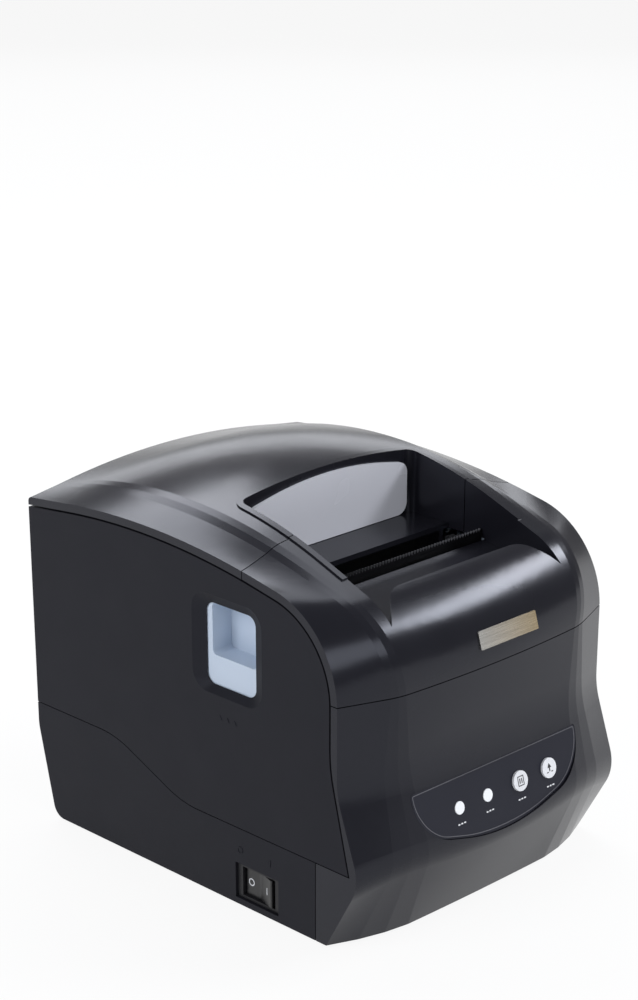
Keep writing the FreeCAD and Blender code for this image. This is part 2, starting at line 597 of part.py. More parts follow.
well_hole = prism("lid_well", "XY", [
    (-d.well_half, d.lid_seam_y - 10), (d.well_half, d.lid_seam_y - 10), (d.well_half, d.well_rear_y, 3.4),
    (-d.well_half, d.well_rear_y, 3.4)], (d.well_floor_z, HIGH))
slot_hole = box("paper_slot", both(d.well_half), (d.lid_seam_y - 10, d.ledge_y),
                (d.well_floor_z - d.well_wall - 1, HIGH))


def pane(edge, radius):
    """Outline of the window drawn in by edge, its top bowed like the lid."""
    side, low = d.window_half - edge, d.well_floor_z + 0.2 + edge
    return [(-side, low, radius), (side, low, radius), (side, d.window_side_z - edge, radius),
            (0, d.window_top_z - edge, d.window_round), (-side, d.window_side_z - edge, radius)]


window_hole = prism("window_opening", "XZ", pane(2.8, 3),
    (d.well_rear_y - 1, d.well_rear_y + d.well_wall + 1))
lid_top = cut("lid_top", fuse("lid_and_well", lid_shell, well_block, lid_rim), well_hole, slot_hole,
    window_hole)
lid = part(cut("lid_solid", fuse("lid_blank", lid_top, *arm_pieces), *pin_holes), "lid")

window = new_body("window_body")
pad(window, "window_plate", "XZ", pane(0, 5), (d.well_rear_y - d.window_thick, d.well_rear_y))
part(window, "lid_window")

# Front bezel: shell with the ramp in front of the tear bar and the seat of the badge plate.
ramp_slope = (d.ramp_high_z - d.ramp_low_z) / (d.ramp_rear_y - d.ramp_front_y)
lip_end = d.lip_half - 8
bezel_shell = cut("bezel_shell", common("bezel_skin", upper, bezel_region), hollow)
ramp_block = common("ramp_block", upper, common("ramp_blank", prism("ramp_side", "YZ", [
    (d.ramp_rear_y, d.ramp_high_z - d.ramp_thick), (d.ramp_rear_y, HIGH), (-FAR, HIGH),
    (-FAR, d.ramp_low_z - d.ramp_thick), (d.ramp_front_y, d.ramp_low_z - d.ramp_thick, 8)], both(well_out)),
    prism("ramp_plan", "XY", [
        (-well_out, d.ramp_rear_y), (-well_out, -FAR), (-lip_end, -FAR), (-lip_end, d.lip_y - w),
        (lip_end, d.lip_y - w),
        (lip_end, -FAR), (well_out, -FAR), (well_out, d.ramp_rear_y)], (90, HIGH))))
cheeks = [common("outlet_cheek_" + name, upper, box(
    "outlet_cheek_blank_" + name, x, (d.ramp_rear_y - 1, d.lid_seam_y - gap),
    (d.well_floor_z - d.well_wall, HIGH)))
    for name, x in (("left", (-well_out, -d.well_half)), ("right", (d.well_half, well_out)))]
cheeks += [common("outlet_rim_" + name, raised, box(
    "outlet_rim_blank_" + name, x, (d.rim_front_y, d.lid_seam_y - gap), (d.well_floor_z, HIGH)))
    for name, x in (("left", (-rim_out, -d.well_half)), ("right", (d.well_half, rim_out)))]
outlet = common("outlet_hole", prism("outlet_plan", "XY", [
    (-d.well_half, 0), (-d.well_half, d.pinch_y), (-d.lip_half, d.lip_y, d.lip_round),
    (d.lip_half, d.lip_y, d.lip_round), (d.well_half, d.pinch_y), (d.well_half, 0)], (90, HIGH)),
    prism("outlet_ramp", "YZ", [
        (0, d.ramp_high_z - ramp_slope * d.ramp_rear_y), (0, HIGH), (-FAR, HIGH),
        (-FAR, d.ramp_low_z), (d.ramp_front_y, d.ramp_low_z, 20)], WIDE))


def tilted(name, corners, span, y, z, tilt, circles=()):
    """Prism on a plane that leans back by tilt; u runs along X, v up the plane, span along its normal."""
    sketch = doc.addObject("Sketcher::SketchObject", name + "_outline")
    outline(sketch, corners, circles)
    start = size(span[0])
    lean = FreeCAD.Rotation(FreeCAD.Vector(1, 0, 0), 90 - tilt.value)
    place(sketch, 0, size(y) - start * cos(tilt), size(z) + start * tan(tilt) * cos(tilt), lean)
    solid = doc.addObject("Part::Extrusion", name)
    solid.Base = sketch
    solid.DirMode = "Normal"
    solid.Solid = True
    bind(solid, "LengthFwd", size(span[1]) - span[0])
    return solid


badge_box = rect(about(d.badge_x, d.badge_long), both(d.badge_high / 2), 0.5)
badge_seat = tilted("badge_seat",
    rect(about(d.badge_x, d.badge_long + 0.2), both(d.badge_high / 2 + 0.1), 0.6),
                    (-0.5, 6), d.badge_y, d.badge_z, d.badge_tilt)
bezel = part(cut("bezel_solid", fuse("bezel_blank", bezel_shell, ramp_block, *cheeks), outlet, badge_seat),
             "front_bezel")
badge_turn = FreeCAD.Rotation(FreeCAD.Vector(1, 0, 0), -d.badge_tilt.value)
badge = new_body("badge_body", 0, d.badge_y, d.badge_z, badge_turn)
pad(badge, "badge_plate_pad", "XZ", badge_box, (0.5 - d.badge_thick, 0.5))
part(badge, "badge_plate")

# Front panel with the flat D-shaped seat of the control overlay.
D_SHAPE = [(-d.overlay_half, 0, 1.5), (-d.overlay_half, -d.overlay_side, 21),
    (0, -d.overlay_drop, d.overlay_round),
           (d.overlay_half, -d.overlay_side, 21), (d.overlay_half, 0, 1.5)]
D_SEAT = [(-d.overlay_half - 0.15, 0.15, 1.6), (-d.overlay_half - 0.15, -d.overlay_side - 0.15, 21.1),
          (0, -d.overlay_drop - 0.16, d.overlay_round),
          (d.overlay_half + 0.15, -d.overlay_side - 0.15, 21.1),
          (d.overlay_half + 0.15, 0.15, 1.6)]
LENSES = (("online_lens", d.online_x), ("error_lens", d.error_x))
BUTTONS = (("pause_button", d.pause_x), ("feed_button", d.feed_x))
row = d.control_row
back = -d.overlay_thick
front_shell = cut("front_shell", common("front_skin", lower, front_region), hollow)
control_holes = []
for label, x in LENSES + BUTTONS:
    reach = (d.lens_radius if (label, x) in LENSES else d.button_radius) + 0.15
    control_holes.append(tilted(label + "_hole", [], (-12, 5), d.panel_y, d.panel_z, d.panel_tilt,
                                [(x, row, reach)]))
posts = [tilted("panel_post_" + name, [], (d.panel_board_back + d.board_thick, back - 0.6),
                d.panel_y, d.panel_z, d.panel_tilt, [(x, row, d.panel_post)])
         for name, x in (("left", -d.panel_post_x), ("right", d.panel_post_x))]
seat = tilted("overlay_seat", D_SEAT, (back, 20), d.panel_y, d.panel_z, d.panel_tilt)
front = part(cut("front_solid", fuse("front_blank", front_shell, *posts), seat, *control_holes),
    "front_panel")

PANEL_TURN = FreeCAD.Rotation(FreeCAD.Vector(1, 0, 0), -d.panel_tilt.value)


def panel_body(name):
    return new_body(name, 0, d.panel_y, d.panel_z, PANEL_TURN)


def outward(low, high):
    """Span along the panel's normal, as the local -Y of a tilted body."""
    return (-size(high), -size(low))


overlay = panel_body("overlay_body")
pad(overlay, "overlay_pad", "XZ", D_SHAPE, outward(back, 0), [
    (x, row, (d.lens_radius if (label, x) in LENSES else d.button_radius) + 0.1)
    for label, x in LENSES + BUTTONS])
part(overlay, "control_overlay")
for label, x in LENSES + BUTTONS:
    radius = d.lens_radius if (label, x) in LENSES else d.button_radius
    proud = d.lens_proud if (label, x) in LENSES else d.button_proud
    piece = panel_body(label + "_body")
    pad(piece, label + "_cap", "XZ", [], outward(d.panel_back - 0.1, proud), [(x, row, radius)])
    pad(piece, label + "_flange", "XZ", [], outward(d.panel_back - 0.1 - d.flange, d.panel_back - 0.1),
        [(x, row, radius + 0.8)])
    if (label, x) in BUTTONS:
        pad(piece, label + "_stem", "XZ", [], outward(
            d.panel_board_back + d.board_thick + d.button_travel + 0.1, d.panel_back - 0.1 - d.flange),
            [(x, row, 1.5)])
    part(piece, label)
board = panel_body("panel_board_body")
pad(board, "panel_board_pad", "XZ", rect(both(d.panel_board_half), about(row, d.panel_board_high), 2),
    outward(d.panel_board_back, d.panel_board_back + d.board_thick))
part(board, "panel_board")

# Side housing: both side walls and the rear wall, with latch openings, the rear paper slot and hinge lugs.
housing_shell = cut("housing_shell", common("housing_skin", upper, housing_region), hollow)
lugs, housing_cuts = [], []
for side, name in ((-1, "left"), (1, "right")):
    inner_edge = d.hinge_x - d.hinge_arm / 2 - d.part_gap
    outer_edge = d.hinge_x + d.hinge_arm / 2 + d.part_gap
    for tag, x in (("in", on_side(side, inner_edge - d.lug_wide, inner_edge)),
        ("out", on_side(side, outer_edge, outer_edge + d.lug_wide))):
        lugs.append(prism("hinge_lug_%s_%s" % (tag, name), "YZ", [
            (d.rear_y - 0.5, d.hinge_z - 10), (d.rear_y - 0.5, d.hinge_z + 5, 3),
            (hinge_y - 5.5, d.hinge_z + 5, 4),
            (hinge_y - 5.5, d.hinge_z - 5, 3), (d.rear_y - 2, d.hinge_z - 12)], x))
    housing_cuts.append(rod("lug_bore_" + name, "X", (hinge_y, d.hinge_z), d.hinge_pin,
                            on_side(side, inner_edge - d.lug_wide, outer_edge + d.lug_wide)))
    housing_cuts.append(box("hinge_notch_" + name, on_side(side, inner_edge, outer_edge),
                            (hinge_y - 8, d.rear_y + 5), (d.hinge_z - d.hinge_boss - 1.3, HIGH)))
    opening = [doc.addObject("Sketcher::SketchObject", "latch_%s_%s" % (name, tag))
               for tag in ("mouth", "throat")]
    outline(opening[0], rect(about(d.latch_y, d.latch_long + 2 * d.latch_bevel),
                             about(d.latch_z + 0.8, d.latch_high + 2 * d.latch_bevel_high), 8))
    outline(opening[1], rect(about(d.latch_y, d.latch_long), about(d.latch_z, d.latch_high), 4))
    place(opening[0], x=side * (half + 0.01), turn=ALONG_X)
    place(opening[1], x=side * (inner - 0.01), turn=ALONG_X)
    housing_cuts.append(loft("latch_opening_" + name, opening, True))
rear_slot = prism("rear_slot", "XZ", rect(both(d.slot_half), about(d.slot_z, d.slot_high), 2),
    (rear_in - 2, d.rear_y + 2))
housing = part(cut("housing_solid", fuse("housing_blank", housing_shell, *lugs), rear_slot, *housing_cuts),
               "side_housing")
pins = [rod("hinge_pin_" + name, "X", (hinge_y, d.hinge_z), d.hinge_pin,
            about(x, 2 * (d.hinge_arm / 2 + d.part_gap + d.lug_wide)))
        for name, x in (("left", -d.hinge_x), ("right", d.hinge_x))]
part(fuse("hinge_pin_pair", *pins), "hinge_pins")

# Bottom case: tub with bosses, foot recesses, switch opening and the sunk socket panel at the rear.
bottom_shell = cut("bottom_shell", common("bottom_skin", lower, bottom_region), hollow)
chassis_spots = [(x, y) for x in both(d.chassis_boss_x)
                 for y in (d.chassis_boss_front_y, d.chassis_boss_rear_y)]
board_spots = [(x, y) for x in (d.board_left_x + 4, d.board_right_x - 6)
               for y in (d.board_front_y + 6, d.board_boss_rear_y)]
tray_spots = [(x, y) for x in both(d.tray_boss_x)
              for y in (d.tray_flat_front + d.tray_boss_inset, d.tray_flat_rear - d.tray_boss_inset)]
adds = [rod("chassis_boss_%d" % i, "Z", spot, d.boss_radius, (floor_z - 0.5, d.chassis_z))
        for i, spot in enumerate(chassis_spots, 1)]
adds += [rod("board_boss_%d" % i, "Z", spot, d.boss_radius * 0.7, (floor_z - 0.5, d.board_z))
         for i, spot in enumerate(board_spots, 1)]
adds += [rod("tray_boss_%d" % i, "Z", spot, d.boss_radius, (floor_z - 0.5, d.tray_z))
         for i, spot in enumerate(tray_spots, 1)]
socket_panel = common("socket_panel", lower, bottom_region, box(
    "socket_panel_blank", (d.jack_x - 12, d.port_x + 13), (d.socket_y - d.socket_wall, d.rear_y),
    (floor_z - 0.5, d.rear_low_z + 4)))
socket_low = d.board_z + d.board_thick
cuts = [rod("chassis_pilot_%d" % i, "Z", spot, d.screw_radius, (floor_z + 0.5, d.chassis_z + 1))
        for i, spot in enumerate(chassis_spots, 1)]
feet_spots = [(x, y) for x in (-d.foot_x, d.foot_x) for y in (d.foot_front_y, d.foot_rear_y)]
cuts += [rod("foot_recess_%d" % i, "Z", spot, d.foot_radius + 0.1, (d.base_z - 1, d.base_z + d.foot_sunk))
         for i, spot in enumerate(feet_spots, 1)]
cuts += [rod("tray_screw_well_%d" % i, "Z", spot, d.screw_well, (d.base_z - 1, d.base_z + d.screw_well_deep))
         for i, spot in enumerate(tray_spots, 1)]
sockets = [box("socket_recess", (d.jack_x - 9, d.port_x + 10), (d.socket_y, d.rear_y + 5),
               (floor_z + 1, d.rear_low_z - 3))]
sockets.append(box("jack_hole", about(d.jack_x, 9.4), (d.socket_y - 5, d.socket_y + 1),
    (socket_low, socket_low + 11.4)))
sockets.append(box("port_hole", about(d.port_x, 12.4), (d.socket_y - 5, d.socket_y + 1),
    (socket_low, socket_low + 11.2)))
cuts.append(box("switch_hole", (-half - 1, -inner + 1), about(d.switch_y, d.switch_long),
                about(d.switch_z, d.switch_high)))
bottom = cut("bottom_open", bottom_shell, *sockets)
for tool in sockets:
    socket_panel = cut("panel_with_" + tool.Name, socket_panel, tool)
part(fuse("bottom_solid", cut("bottom_tub", fuse("bottom_blank", bottom, *adds), *cuts), socket_panel),
    "bottom_case")

part(fuse("feet", *[rod("foot_%d" % i, "Z", spot, d.foot_radius, (0, d.base_z + d.foot_sunk))
                    for i, spot in enumerate(feet_spots, 1)]), "rubber_feet")

# Chassis: one folded sheet, two side plates on a base, with stand-offs for the motor.
chassis_out = d.chassis_in + d.sheet
idler_z = d.platen_z - d.gear_module * (d.platen_teeth + d.idler_teeth) / 2
mesh = d.gear_module * (d.idler_teeth + d.pinion_teeth) / 2
motor_y = d.platen_y + mesh * cos(d.pinion_angle)
motor_z = idler_z - mesh * cos(d.pinion_angle) * tan(d.pinion_angle)
sink_back = d.platen_y - d.platen_radius - d.head_gap - d.head_thick
head_pivot_y = sink_back - d.sink_thick + 0.5
ears = [(motor_y + 3.5, motor_z - 14.6), (motor_y - 12.5, motor_z - 9)]
frame = new_body("chassis_body")
pad(frame, "chassis_side", "YZ", [
    (d.chassis_front_y, d.chassis_z), (d.chassis_rear_y, d.chassis_z),
    (d.chassis_rear_y, d.chassis_neck_z, 6),
    (d.chassis_neck_y, d.chassis_top_z, 5), (d.tear_foot_y, d.chassis_top_z, 3),
    (d.tear_foot_y, d.chassis_step_z, 8),
    (d.chassis_front_y, d.chassis_knee_z, 8)], both(chassis_out), [
    (d.latch_y, d.latch_pivot_z, d.latch_shaft + d.fit_gap), (head_pivot_y, d.head_pivot_z, d.head_pin),
    (d.platen_y, idler_z, d.idler_stud), (d.chassis_eye_y, d.chassis_eye_z, d.chassis_eye)])
pocket(frame, "chassis_trough", "XZ", rect(both(d.chassis_in), (d.chassis_z + d.sheet, HIGH)),
       (d.chassis_front_y - 10, d.chassis_rear_y + 13))
pocket(frame, "chassis_screw_holes", "XY",
    rect(both(d.chassis_boss_x - 6), (d.chassis_boss_front_y + 4, d.chassis_boss_rear_y - 4), 4),
    (d.chassis_z - 1, d.chassis_z + d.sheet + 1),
       [(x, y, d.screw_radius + 0.2) for x, y in chassis_spots])
for i, (y, z) in enumerate(ears, 1):
    pad(frame, "motor_standoff_%d" % i, "YZ", [], (d.motor_out, d.chassis_in + 0.5), [(y, z, 2)])
part(frame, "chassis")
screws = []
for i, (x, y) in enumerate(chassis_spots, 1):
    screws.append(rod("screw_head_%d" % i, "Z", (x, y), d.screw_radius * 1.9,
                      (d.chassis_z + d.sheet, d.chassis_z + d.sheet + 2)))
    screws.append(rod("screw_shank_%d" % i, "Z", (x, y), d.screw_radius,
        (floor_z + 0.8, d.chassis_z + d.sheet + 1)))
part(fuse("chassis_screw_set", *screws), "chassis_screws")


# Gears: straight-flanked teeth, the first tooth along local +Y, turned into mesh about X.
def gear(name, y, z, x, wide, module, teeth, phase, bore):
    body = new_body(name, x, y, z, FreeCAD.Rotation(FreeCAD.Vector(1, 0, 0), phase))
    pitch, root = module * teeth / 2, module * teeth / 2 - 1.15 * module
    flank = module * math.pi / 4 - d.backlash / 2
    pad(body, name + "_disc", "YZ", [], (0, wide), [(0, 0, root)] + ([(0, 0, bore)] if bore else []))
    tooth = pad(body, name + "_tooth", "YZ", [
        (root - 0.5 * module, -flank - 0.42 * module), (pitch + 0.9 * module, -flank + 0.33 * module),
        (pitch + 0.9 * module, flank - 0.33 * module), (root - 0.5 * module, flank + 0.42 * module)],
        (0, wide))
    ring = body.newObject("PartDesign::PolarPattern", name + "_teeth")
    ring.Originals = [tooth]
    ring.Axis = ([f for f in body.Origin.OriginFeatures if f.Role == "X_Axis"][0], [""])
    ring.Angle = 360
    bind(ring, "Occurrences", teeth)
    body.Tip = ring
    return body


platen_gear = gear("platen_gear_body", d.platen_y, d.platen_z, d.gear_in, d.gear_wide, d.gear_module,
                   d.platen_teeth, 0, d.platen_shaft)
part(platen_gear, "platen_gear")
idler = gear("idler_gear_body", d.platen_y, idler_z, d.gear_in, d.gear_wide, d.gear_module, d.idler_teeth,
             180 / d.idler_teeth.value, d.idler_stud + d.fit_gap)
part(idler, "idler_gear")
pinion = gear("motor_pinion_body", motor_y, motor_z, d.gear_in, d.gear_wide, d.gear_module, d.pinion_teeth,
              180 - d.pinion_angle.value + 180 / d.pinion_teeth.value, 0)
pad(pinion, "pinion_shaft", "YZ", [], (d.motor_out - d.gear_in - 8, d.gear_wide), [(0, 0, d.motor_shaft)])
part(pinion, "motor_pinion")
stud = fuse("idler_stud_solid",
            rod("idler_stud_shank", "X", (d.platen_y, idler_z), d.idler_stud, (d.gear_in - 1, chassis_out)),
            rod("idler_stud_head", "X", (d.platen_y, idler_z), d.idler_stud + 1.2,
            (d.gear_in - 1, d.gear_in - 0.2)))
part(stud, "idler_stud")
motor = cut("motor_solid", fuse(
    "motor_blank", rod("motor_can", "X", (motor_y, motor_z), d.motor_radius, (d.motor_in, d.motor_out)),
    prism("motor_flange", "YZ", [(ears[0][0] + 3, ears[0][1] - 3, 2.8), (motor_y + 10, motor_z, 4),
                                 (motor_y, motor_z + 10, 4), (ears[1][0] - 3.2, ears[1][1] + 3, 3),
                                 (ears[1][0] - 3.2, ears[1][1] - 3, 2.8)],
                                 (d.motor_out - 1.2, d.motor_out))),
    rod("motor_bore", "X", (motor_y, motor_z), d.motor_shaft + d.fit_gap,
    (d.motor_out - 9, d.motor_out + 1)))
part(motor, "feed_motor")

# Platen: rubber roller on its shaft, in two flanged bushes held by the lid's brackets.
platen = new_body("platen_body")
pad(platen, "platen_sleeve", "YZ", [], both(d.platen_half), [
    (d.platen_y, d.platen_z, d.platen_radius), (d.platen_y, d.platen_z, d.platen_shaft)])
part(platen, "platen_roller")
part(rod("platen_shaft_rod", "X", (d.platen_y, d.platen_z), d.platen_shaft,
         (-d.bracket_in - d.bracket_thick - 0.8, d.gear_in + d.gear_wide)), "platen_shaft")
bushes = []
for side, name in ((-1, "left"), (1, "right")):
    bushes.append(rod("bush_sleeve_" + name, "X", (d.platen_y, d.platen_z), d.bush_radius,
                      on_side(side, d.bracket_in - 0.1, d.bracket_in + d.bracket_thick + 0.2)))
    bushes.append(rod("bush_flange_" + name, "X", (d.platen_y, d.platen_z), d.bush_radius + 1,
                      on_side(side, d.bracket_in - 0.6, d.bracket_in)))
part(cut("bush_pair", fuse("bush_blanks", *bushes),
         rod("bush_bore", "X", (d.platen_y, d.platen_z), d.platen_shaft + d.fit_gap, both(chassis_out))),
         "platen_bushes")

# Head: ceramic strip on an aluminium sink that tips on a pin through the chassis.
sink = new_body("sink_body")
pad(sink, "sink_pad", "YZ", [
    (sink_back, d.sink_low_z, 1), (sink_back, d.sink_top_z), (sink_back - d.sink_thick, d.sink_top_z),
    (sink_back - d.sink_thick, d.head_pivot_z + 6, 2), (head_pivot_y - 4, d.head_pivot_z + 3, 2),
    (head_pivot_y - 4, d.sink_low_z, 3)], both(d.sink_half),
    [(head_pivot_y, d.head_pivot_z, d.head_pin + d.fit_gap)])
part(sink, "heat_sink")
head = new_body("head_body")
pad(head, "head_strip", "YZ", [
    (sink_back, d.head_low_z), (sink_back + d.head_thick, d.head_low_z),
    (sink_back + d.head_thick, d.head_top_z - 0.6),
    (sink_back + d.head_thick - 0.6, d.head_top_z), (sink_back, d.head_top_z)], both(d.head_half))
part(head, "printhead")
part(rod("head_pin_rod", "X", (head_pivot_y, d.head_pivot_z), d.head_pin, both(chassis_out)),
    "head_pivot_pin")

# Tear bar: folded strip on top of the chassis, its upper edge cut into a row of teeth.
tear = new_body("tear_body")
pad(tear, "tear_fold", "YZ", [
    (d.tear_y, d.chassis_top_z), (d.tear_y, d.tear_top_z - d.tooth_high),
    (d.tear_y - d.tear_thick, d.tear_top_z - d.tooth_high),
    (d.tear_y - d.tear_thick, d.chassis_top_z + d.tear_thick),
    (d.tear_foot_y, d.chassis_top_z + d.tear_thick),
    (d.tear_foot_y, d.chassis_top_z)], both(d.tear_half))
first = pad(tear, "tear_tooth", "XZ", [
    (-d.tear_half, d.tear_top_z - d.tooth_high - 0.2),
    (-d.tear_half + d.tooth_pitch, d.tear_top_z - d.tooth_high - 0.2),
    (-d.tear_half + d.tooth_pitch / 2 + 0.1, d.tear_top_z),
    (-d.tear_half + d.tooth_pitch / 2 - 0.1, d.tear_top_z)],
    (d.tear_y - d.tear_thick, d.tear_y))
comb = tear.newObject("PartDesign::LinearPattern", "tear_teeth")
comb.Originals = [first]
comb.Direction = ([f for f in tear.Origin.OriginFeatures if f.Role == "X_Axis"][0], [""])
bind(comb, "Length", 2 * d.tear_half - d.tooth_pitch)
bind(comb, "Occurrences", 2 * d.tear_half / d.tooth_pitch)
tear.Tip = comb
for side, name in ((-1, "left"), (1, "right")):
    x = on_side(side, d.tear_half - 0.5, chassis_out)
    pad(tear, "tear_ear_" + name, "XY", rect(x, (d.tear_foot_y, d.tear_y - d.tear_thick)),
        (d.chassis_top_z, d.chassis_top_z + d.tear_thick))
part(tear, "tear_bar")

# Latch: two finger pieces and two hooks keyed on one shaft across the chassis.
shaft_out = inner - d.seam_gap - 1
part(rod("latch_shaft_rod", "X", (d.latch_y, d.latch_pivot_z), d.latch_shaft, both(shaft_out)),
    "latch_shaft")
finger_out = inner - d.seam_gap
low, high = d.latch_z - d.latch_high / 2 - 3, d.latch_z + d.latch_high / 2 + 2.4
near, far = d.latch_y - d.latch_long / 2 - 2.3, d.latch_y + d.latch_long / 2 + 2.3
for side, name in ((-1, "left"), (1, "right")):
    finger = new_body("finger_body_" + name)
    pad(finger, "finger_block_" + name, "YZ", [
        (near, low, 3), (d.latch_y - 6, low, 4), (d.latch_y - 6, d.latch_pivot_z - 6, 5.5),
        (d.latch_y + 6, d.latch_pivot_z - 6, 5.5), (d.latch_y + 6, low, 4), (far, low, 3), (far, high, 4),
        (near, high, 4)],
        on_side(side, d.finger_inner_x, finger_out), [(d.latch_y, d.latch_pivot_z, d.latch_shaft)])
    pocket(finger, "finger_pocket_" + name, "YZ", rect(
        (near + 2.3, far - 2.3 - d.finger_wall), (d.finger_shelf_z, high - 2.4), 2),
        on_side(side, finger_out - d.finger_deep, finger_out))
    part(finger, "latch_button_" + name)
    hook = new_body("hook_body_" + name)
    pad(hook, "hook_plate_" + name, "YZ", [
        (d.latch_y - 5, d.latch_pivot_z - 5, 4.5), (d.latch_y + 5, d.latch_pivot_z - 5, 4.5),
        (d.latch_y + 5, d.latch_pivot_z + 6, 3), (d.catch_y - 5.5, d.hook_neck_z, 6),
        (d.catch_y - 5.5, d.catch_z + 1.6, 0.5),
        (d.catch_y - 2.7, d.catch_z + 2.2), (d.catch_y - 2.7, d.catch_z + 4),
        (d.catch_y - 6, d.catch_z + 7.5, 1),
        (d.catch_y - 9.5, d.catch_z + 7.5, 2), (d.catch_y - 9.5, d.hook_neck_z, 6),
        (d.latch_y - 5, d.latch_pivot_z + 10, 3)],
        on_side(side, d.hook_x, d.hook_x + d.hook_thick), [(d.latch_y, d.latch_pivot_z, d.latch_shaft)])
    part(hook, "latch_hook_" + name)

# Roll tray, the two coupled roll guides with their racks, and the pinion between the racks.
top_z = d.tray_z + d.tray_thick
pinion_radius = d.rack_module * d.rack_teeth / 2
tray = new_body("tray_body")
pad(tray, "tray_fold", "YZ", [
    (d.tray_front_y, d.tray_front_z), (d.tray_flat_front, d.tray_z, 12), (d.tray_flat_rear, d.tray_z, 12),
    (d.tray_rear_y, d.tray_rear_z), (d.tray_rear_y - 1, d.tray_rear_z + 2.4),
    (d.tray_flat_rear - 1, top_z, 10),
    (d.tray_flat_front + 1, top_z, 10), (d.tray_front_y + 1, d.tray_front_z + 2.4)], both(d.tray_half))
foot_off = pinion_radius + 1 + d.rack_wide / 2
for side, name in ((-1, "left"), (1, "right")):
    mid_y = d.roll_y + side * foot_off
    low_x, high_x = d.guide_in - d.guide_travel - d.part_gap, d.guide_in + d.guide_thick + d.part_gap
    x = on_side(side, low_x, high_x)
    pocket(tray, "guide_slot_" + name, "XY", rect(x, about(mid_y, d.guide_foot + 0.5)),
        (d.tray_z - 1, top_z + 1))
pocket(tray, "tray_pin_hole", "XY", [], (d.tray_z - 1, top_z + 1), [(0, d.roll_y, d.guide_pin)])
part(tray, "roll_tray")
flank = d.rack_module * math.pi / 4 - d.backlash / 2
for side, name in ((-1, "left"), (1, "right")):
    mid_y = d.roll_y + side * foot_off
    edge_y = d.roll_y + side * (pinion_radius + 1.15 * d.rack_module)
    tip_y = d.roll_y + side * (pinion_radius - 0.9 * d.rack_module)
    out_y = mid_y + side * d.rack_wide / 2
    guide = new_body("guide_body_" + name)
    pad(guide, "guide_plate_" + name, "YZ", [
        (d.roll_y - d.guide_base, top_z + d.part_gap, 3), (d.roll_y + d.guide_base, top_z + d.part_gap, 3),
        (d.roll_y + d.guide_radius, d.guide_waist_z, 10),
        (d.roll_y + d.guide_radius, d.guide_top_z, d.guide_round),
        (d.roll_y - d.guide_radius, d.guide_top_z, d.guide_round),
        (d.roll_y - d.guide_radius, d.guide_waist_z, 10)],
        on_side(side, d.guide_in, d.guide_in + d.guide_thick),
        [(d.roll_y, d.guide_top_z - d.guide_round, d.guide_eye)])
    pad(guide, "guide_foot_" + name, "YZ",
        rect(about(mid_y, d.guide_foot), (d.rack_z + d.rack_high - 0.5, top_z + 3)),
        on_side(side, d.guide_in, d.guide_in + d.guide_thick))
    pad(guide, "guide_rack_" + name, "XY", rect(
        on_side(side, -pinion_radius * 1.9, d.guide_in + d.guide_thick),
        (edge_y, out_y) if side > 0 else (out_y, edge_y)), (d.rack_z, d.rack_z + d.rack_high))
    pitch = d.rack_module * math.pi
    start = -2.5 * pitch * side
    tooth = pad(guide, "rack_tooth_" + name, "XY", [
        (start - flank - 0.42 * d.rack_module, edge_y + side * 0.2),
        (start + flank + 0.42 * d.rack_module, edge_y + side * 0.2),
        (start + flank - 0.33 * d.rack_module, tip_y), (start - flank + 0.33 * d.rack_module, tip_y)],
        (d.rack_z, d.rack_z + d.rack_high))
    teeth_row = guide.newObject("PartDesign::LinearPattern", "rack_teeth_" + name)
    teeth_row.Originals = [tooth]
    teeth_row.Direction = ([f for f in guide.Origin.OriginFeatures if f.Role == "X_Axis"][0], [""])
    teeth_row.Reversed = side < 0
    bind(teeth_row, "Length", 13 * pitch)
    teeth_row.Occurrences = 14
    guide.Tip = teeth_row
    part(guide, "roll_guide_" + name)


def flat_gear(name, x, y, z, wide, module, teeth, phase, bore):
    body = gear(name, y, z, x, wide, module, teeth, 0, bore)
    turn = FreeCAD.Rotation(FreeCAD.Vector(0, 0, 1), phase) * FreeCAD.Rotation(FreeCAD.Vector(0, 1, 0), -90)
    place(body, x, y, z, turn)
    return body


rack_gear = flat_gear("guide_pinion_body", 0, d.roll_y, d.rack_z + 0.1, d.rack_high - 0.2, d.rack_module,
                      d.rack_teeth, 0, d.guide_pin + d.fit_gap)
part(rack_gear, "guide_pinion")
part(fuse("guide_pin_solid",
    rod("guide_pin_shank", "Z", (0, d.roll_y), d.guide_pin, (d.rack_z - 0.2, top_z)),
          rod("guide_pin_head", "Z", (0, d.roll_y), d.guide_pin + 1.5, (d.rack_z - 1, d.rack_z - 0.1))),
          "guide_pin")

# Main board with the power inlet and the data port behind the sunk panel.
main = new_body("main_board_body")
pad(main, "main_board_pad", "XY", rect(
    (d.board_left_x, d.board_right_x), (d.board_front_y, d.socket_y - d.socket_wall - 0.6), 2),
    (d.board_z, d.board_z + d.board_thick))
part(main, "main_board")
jack = new_body("jack_body")
pad(jack, "jack_case", "XY", rect(about(d.jack_x, 9), (d.socket_y - 15, d.socket_y - 0.3)),
    (socket_low, socket_low + 11))
pocket(jack, "jack_bore", "XZ", [], (d.socket_y - 10, d.socket_y + 1), [(d.jack_x, socket_low + 5.6, 3.2)])
pad(jack, "jack_pin", "XZ", [], (d.socket_y - 10.5, d.socket_y - 1.5), [(d.jack_x, socket_low + 5.6, 1)])
part(jack, "power_inlet")
port = new_body("port_body")
pad(port, "port_case", "XY", rect(about(d.port_x, 12), (d.socket_y - 16, d.socket_y - 0.3)),
    (socket_low, socket_low + 10.8))
pocket(port, "port_mouth", "XZ", rect(about(d.port_x, 8.6), about(socket_low + 5.4, 7.8), 0.8),
    (d.socket_y - 9, d.socket_y + 1))
pad(port, "port_tongue", "XZ", rect(about(d.port_x, 5.6), about(socket_low + 5.4, 3.2)),
    (d.socket_y - 9.5, d.socket_y - 1.2))
part(port, "data_port")

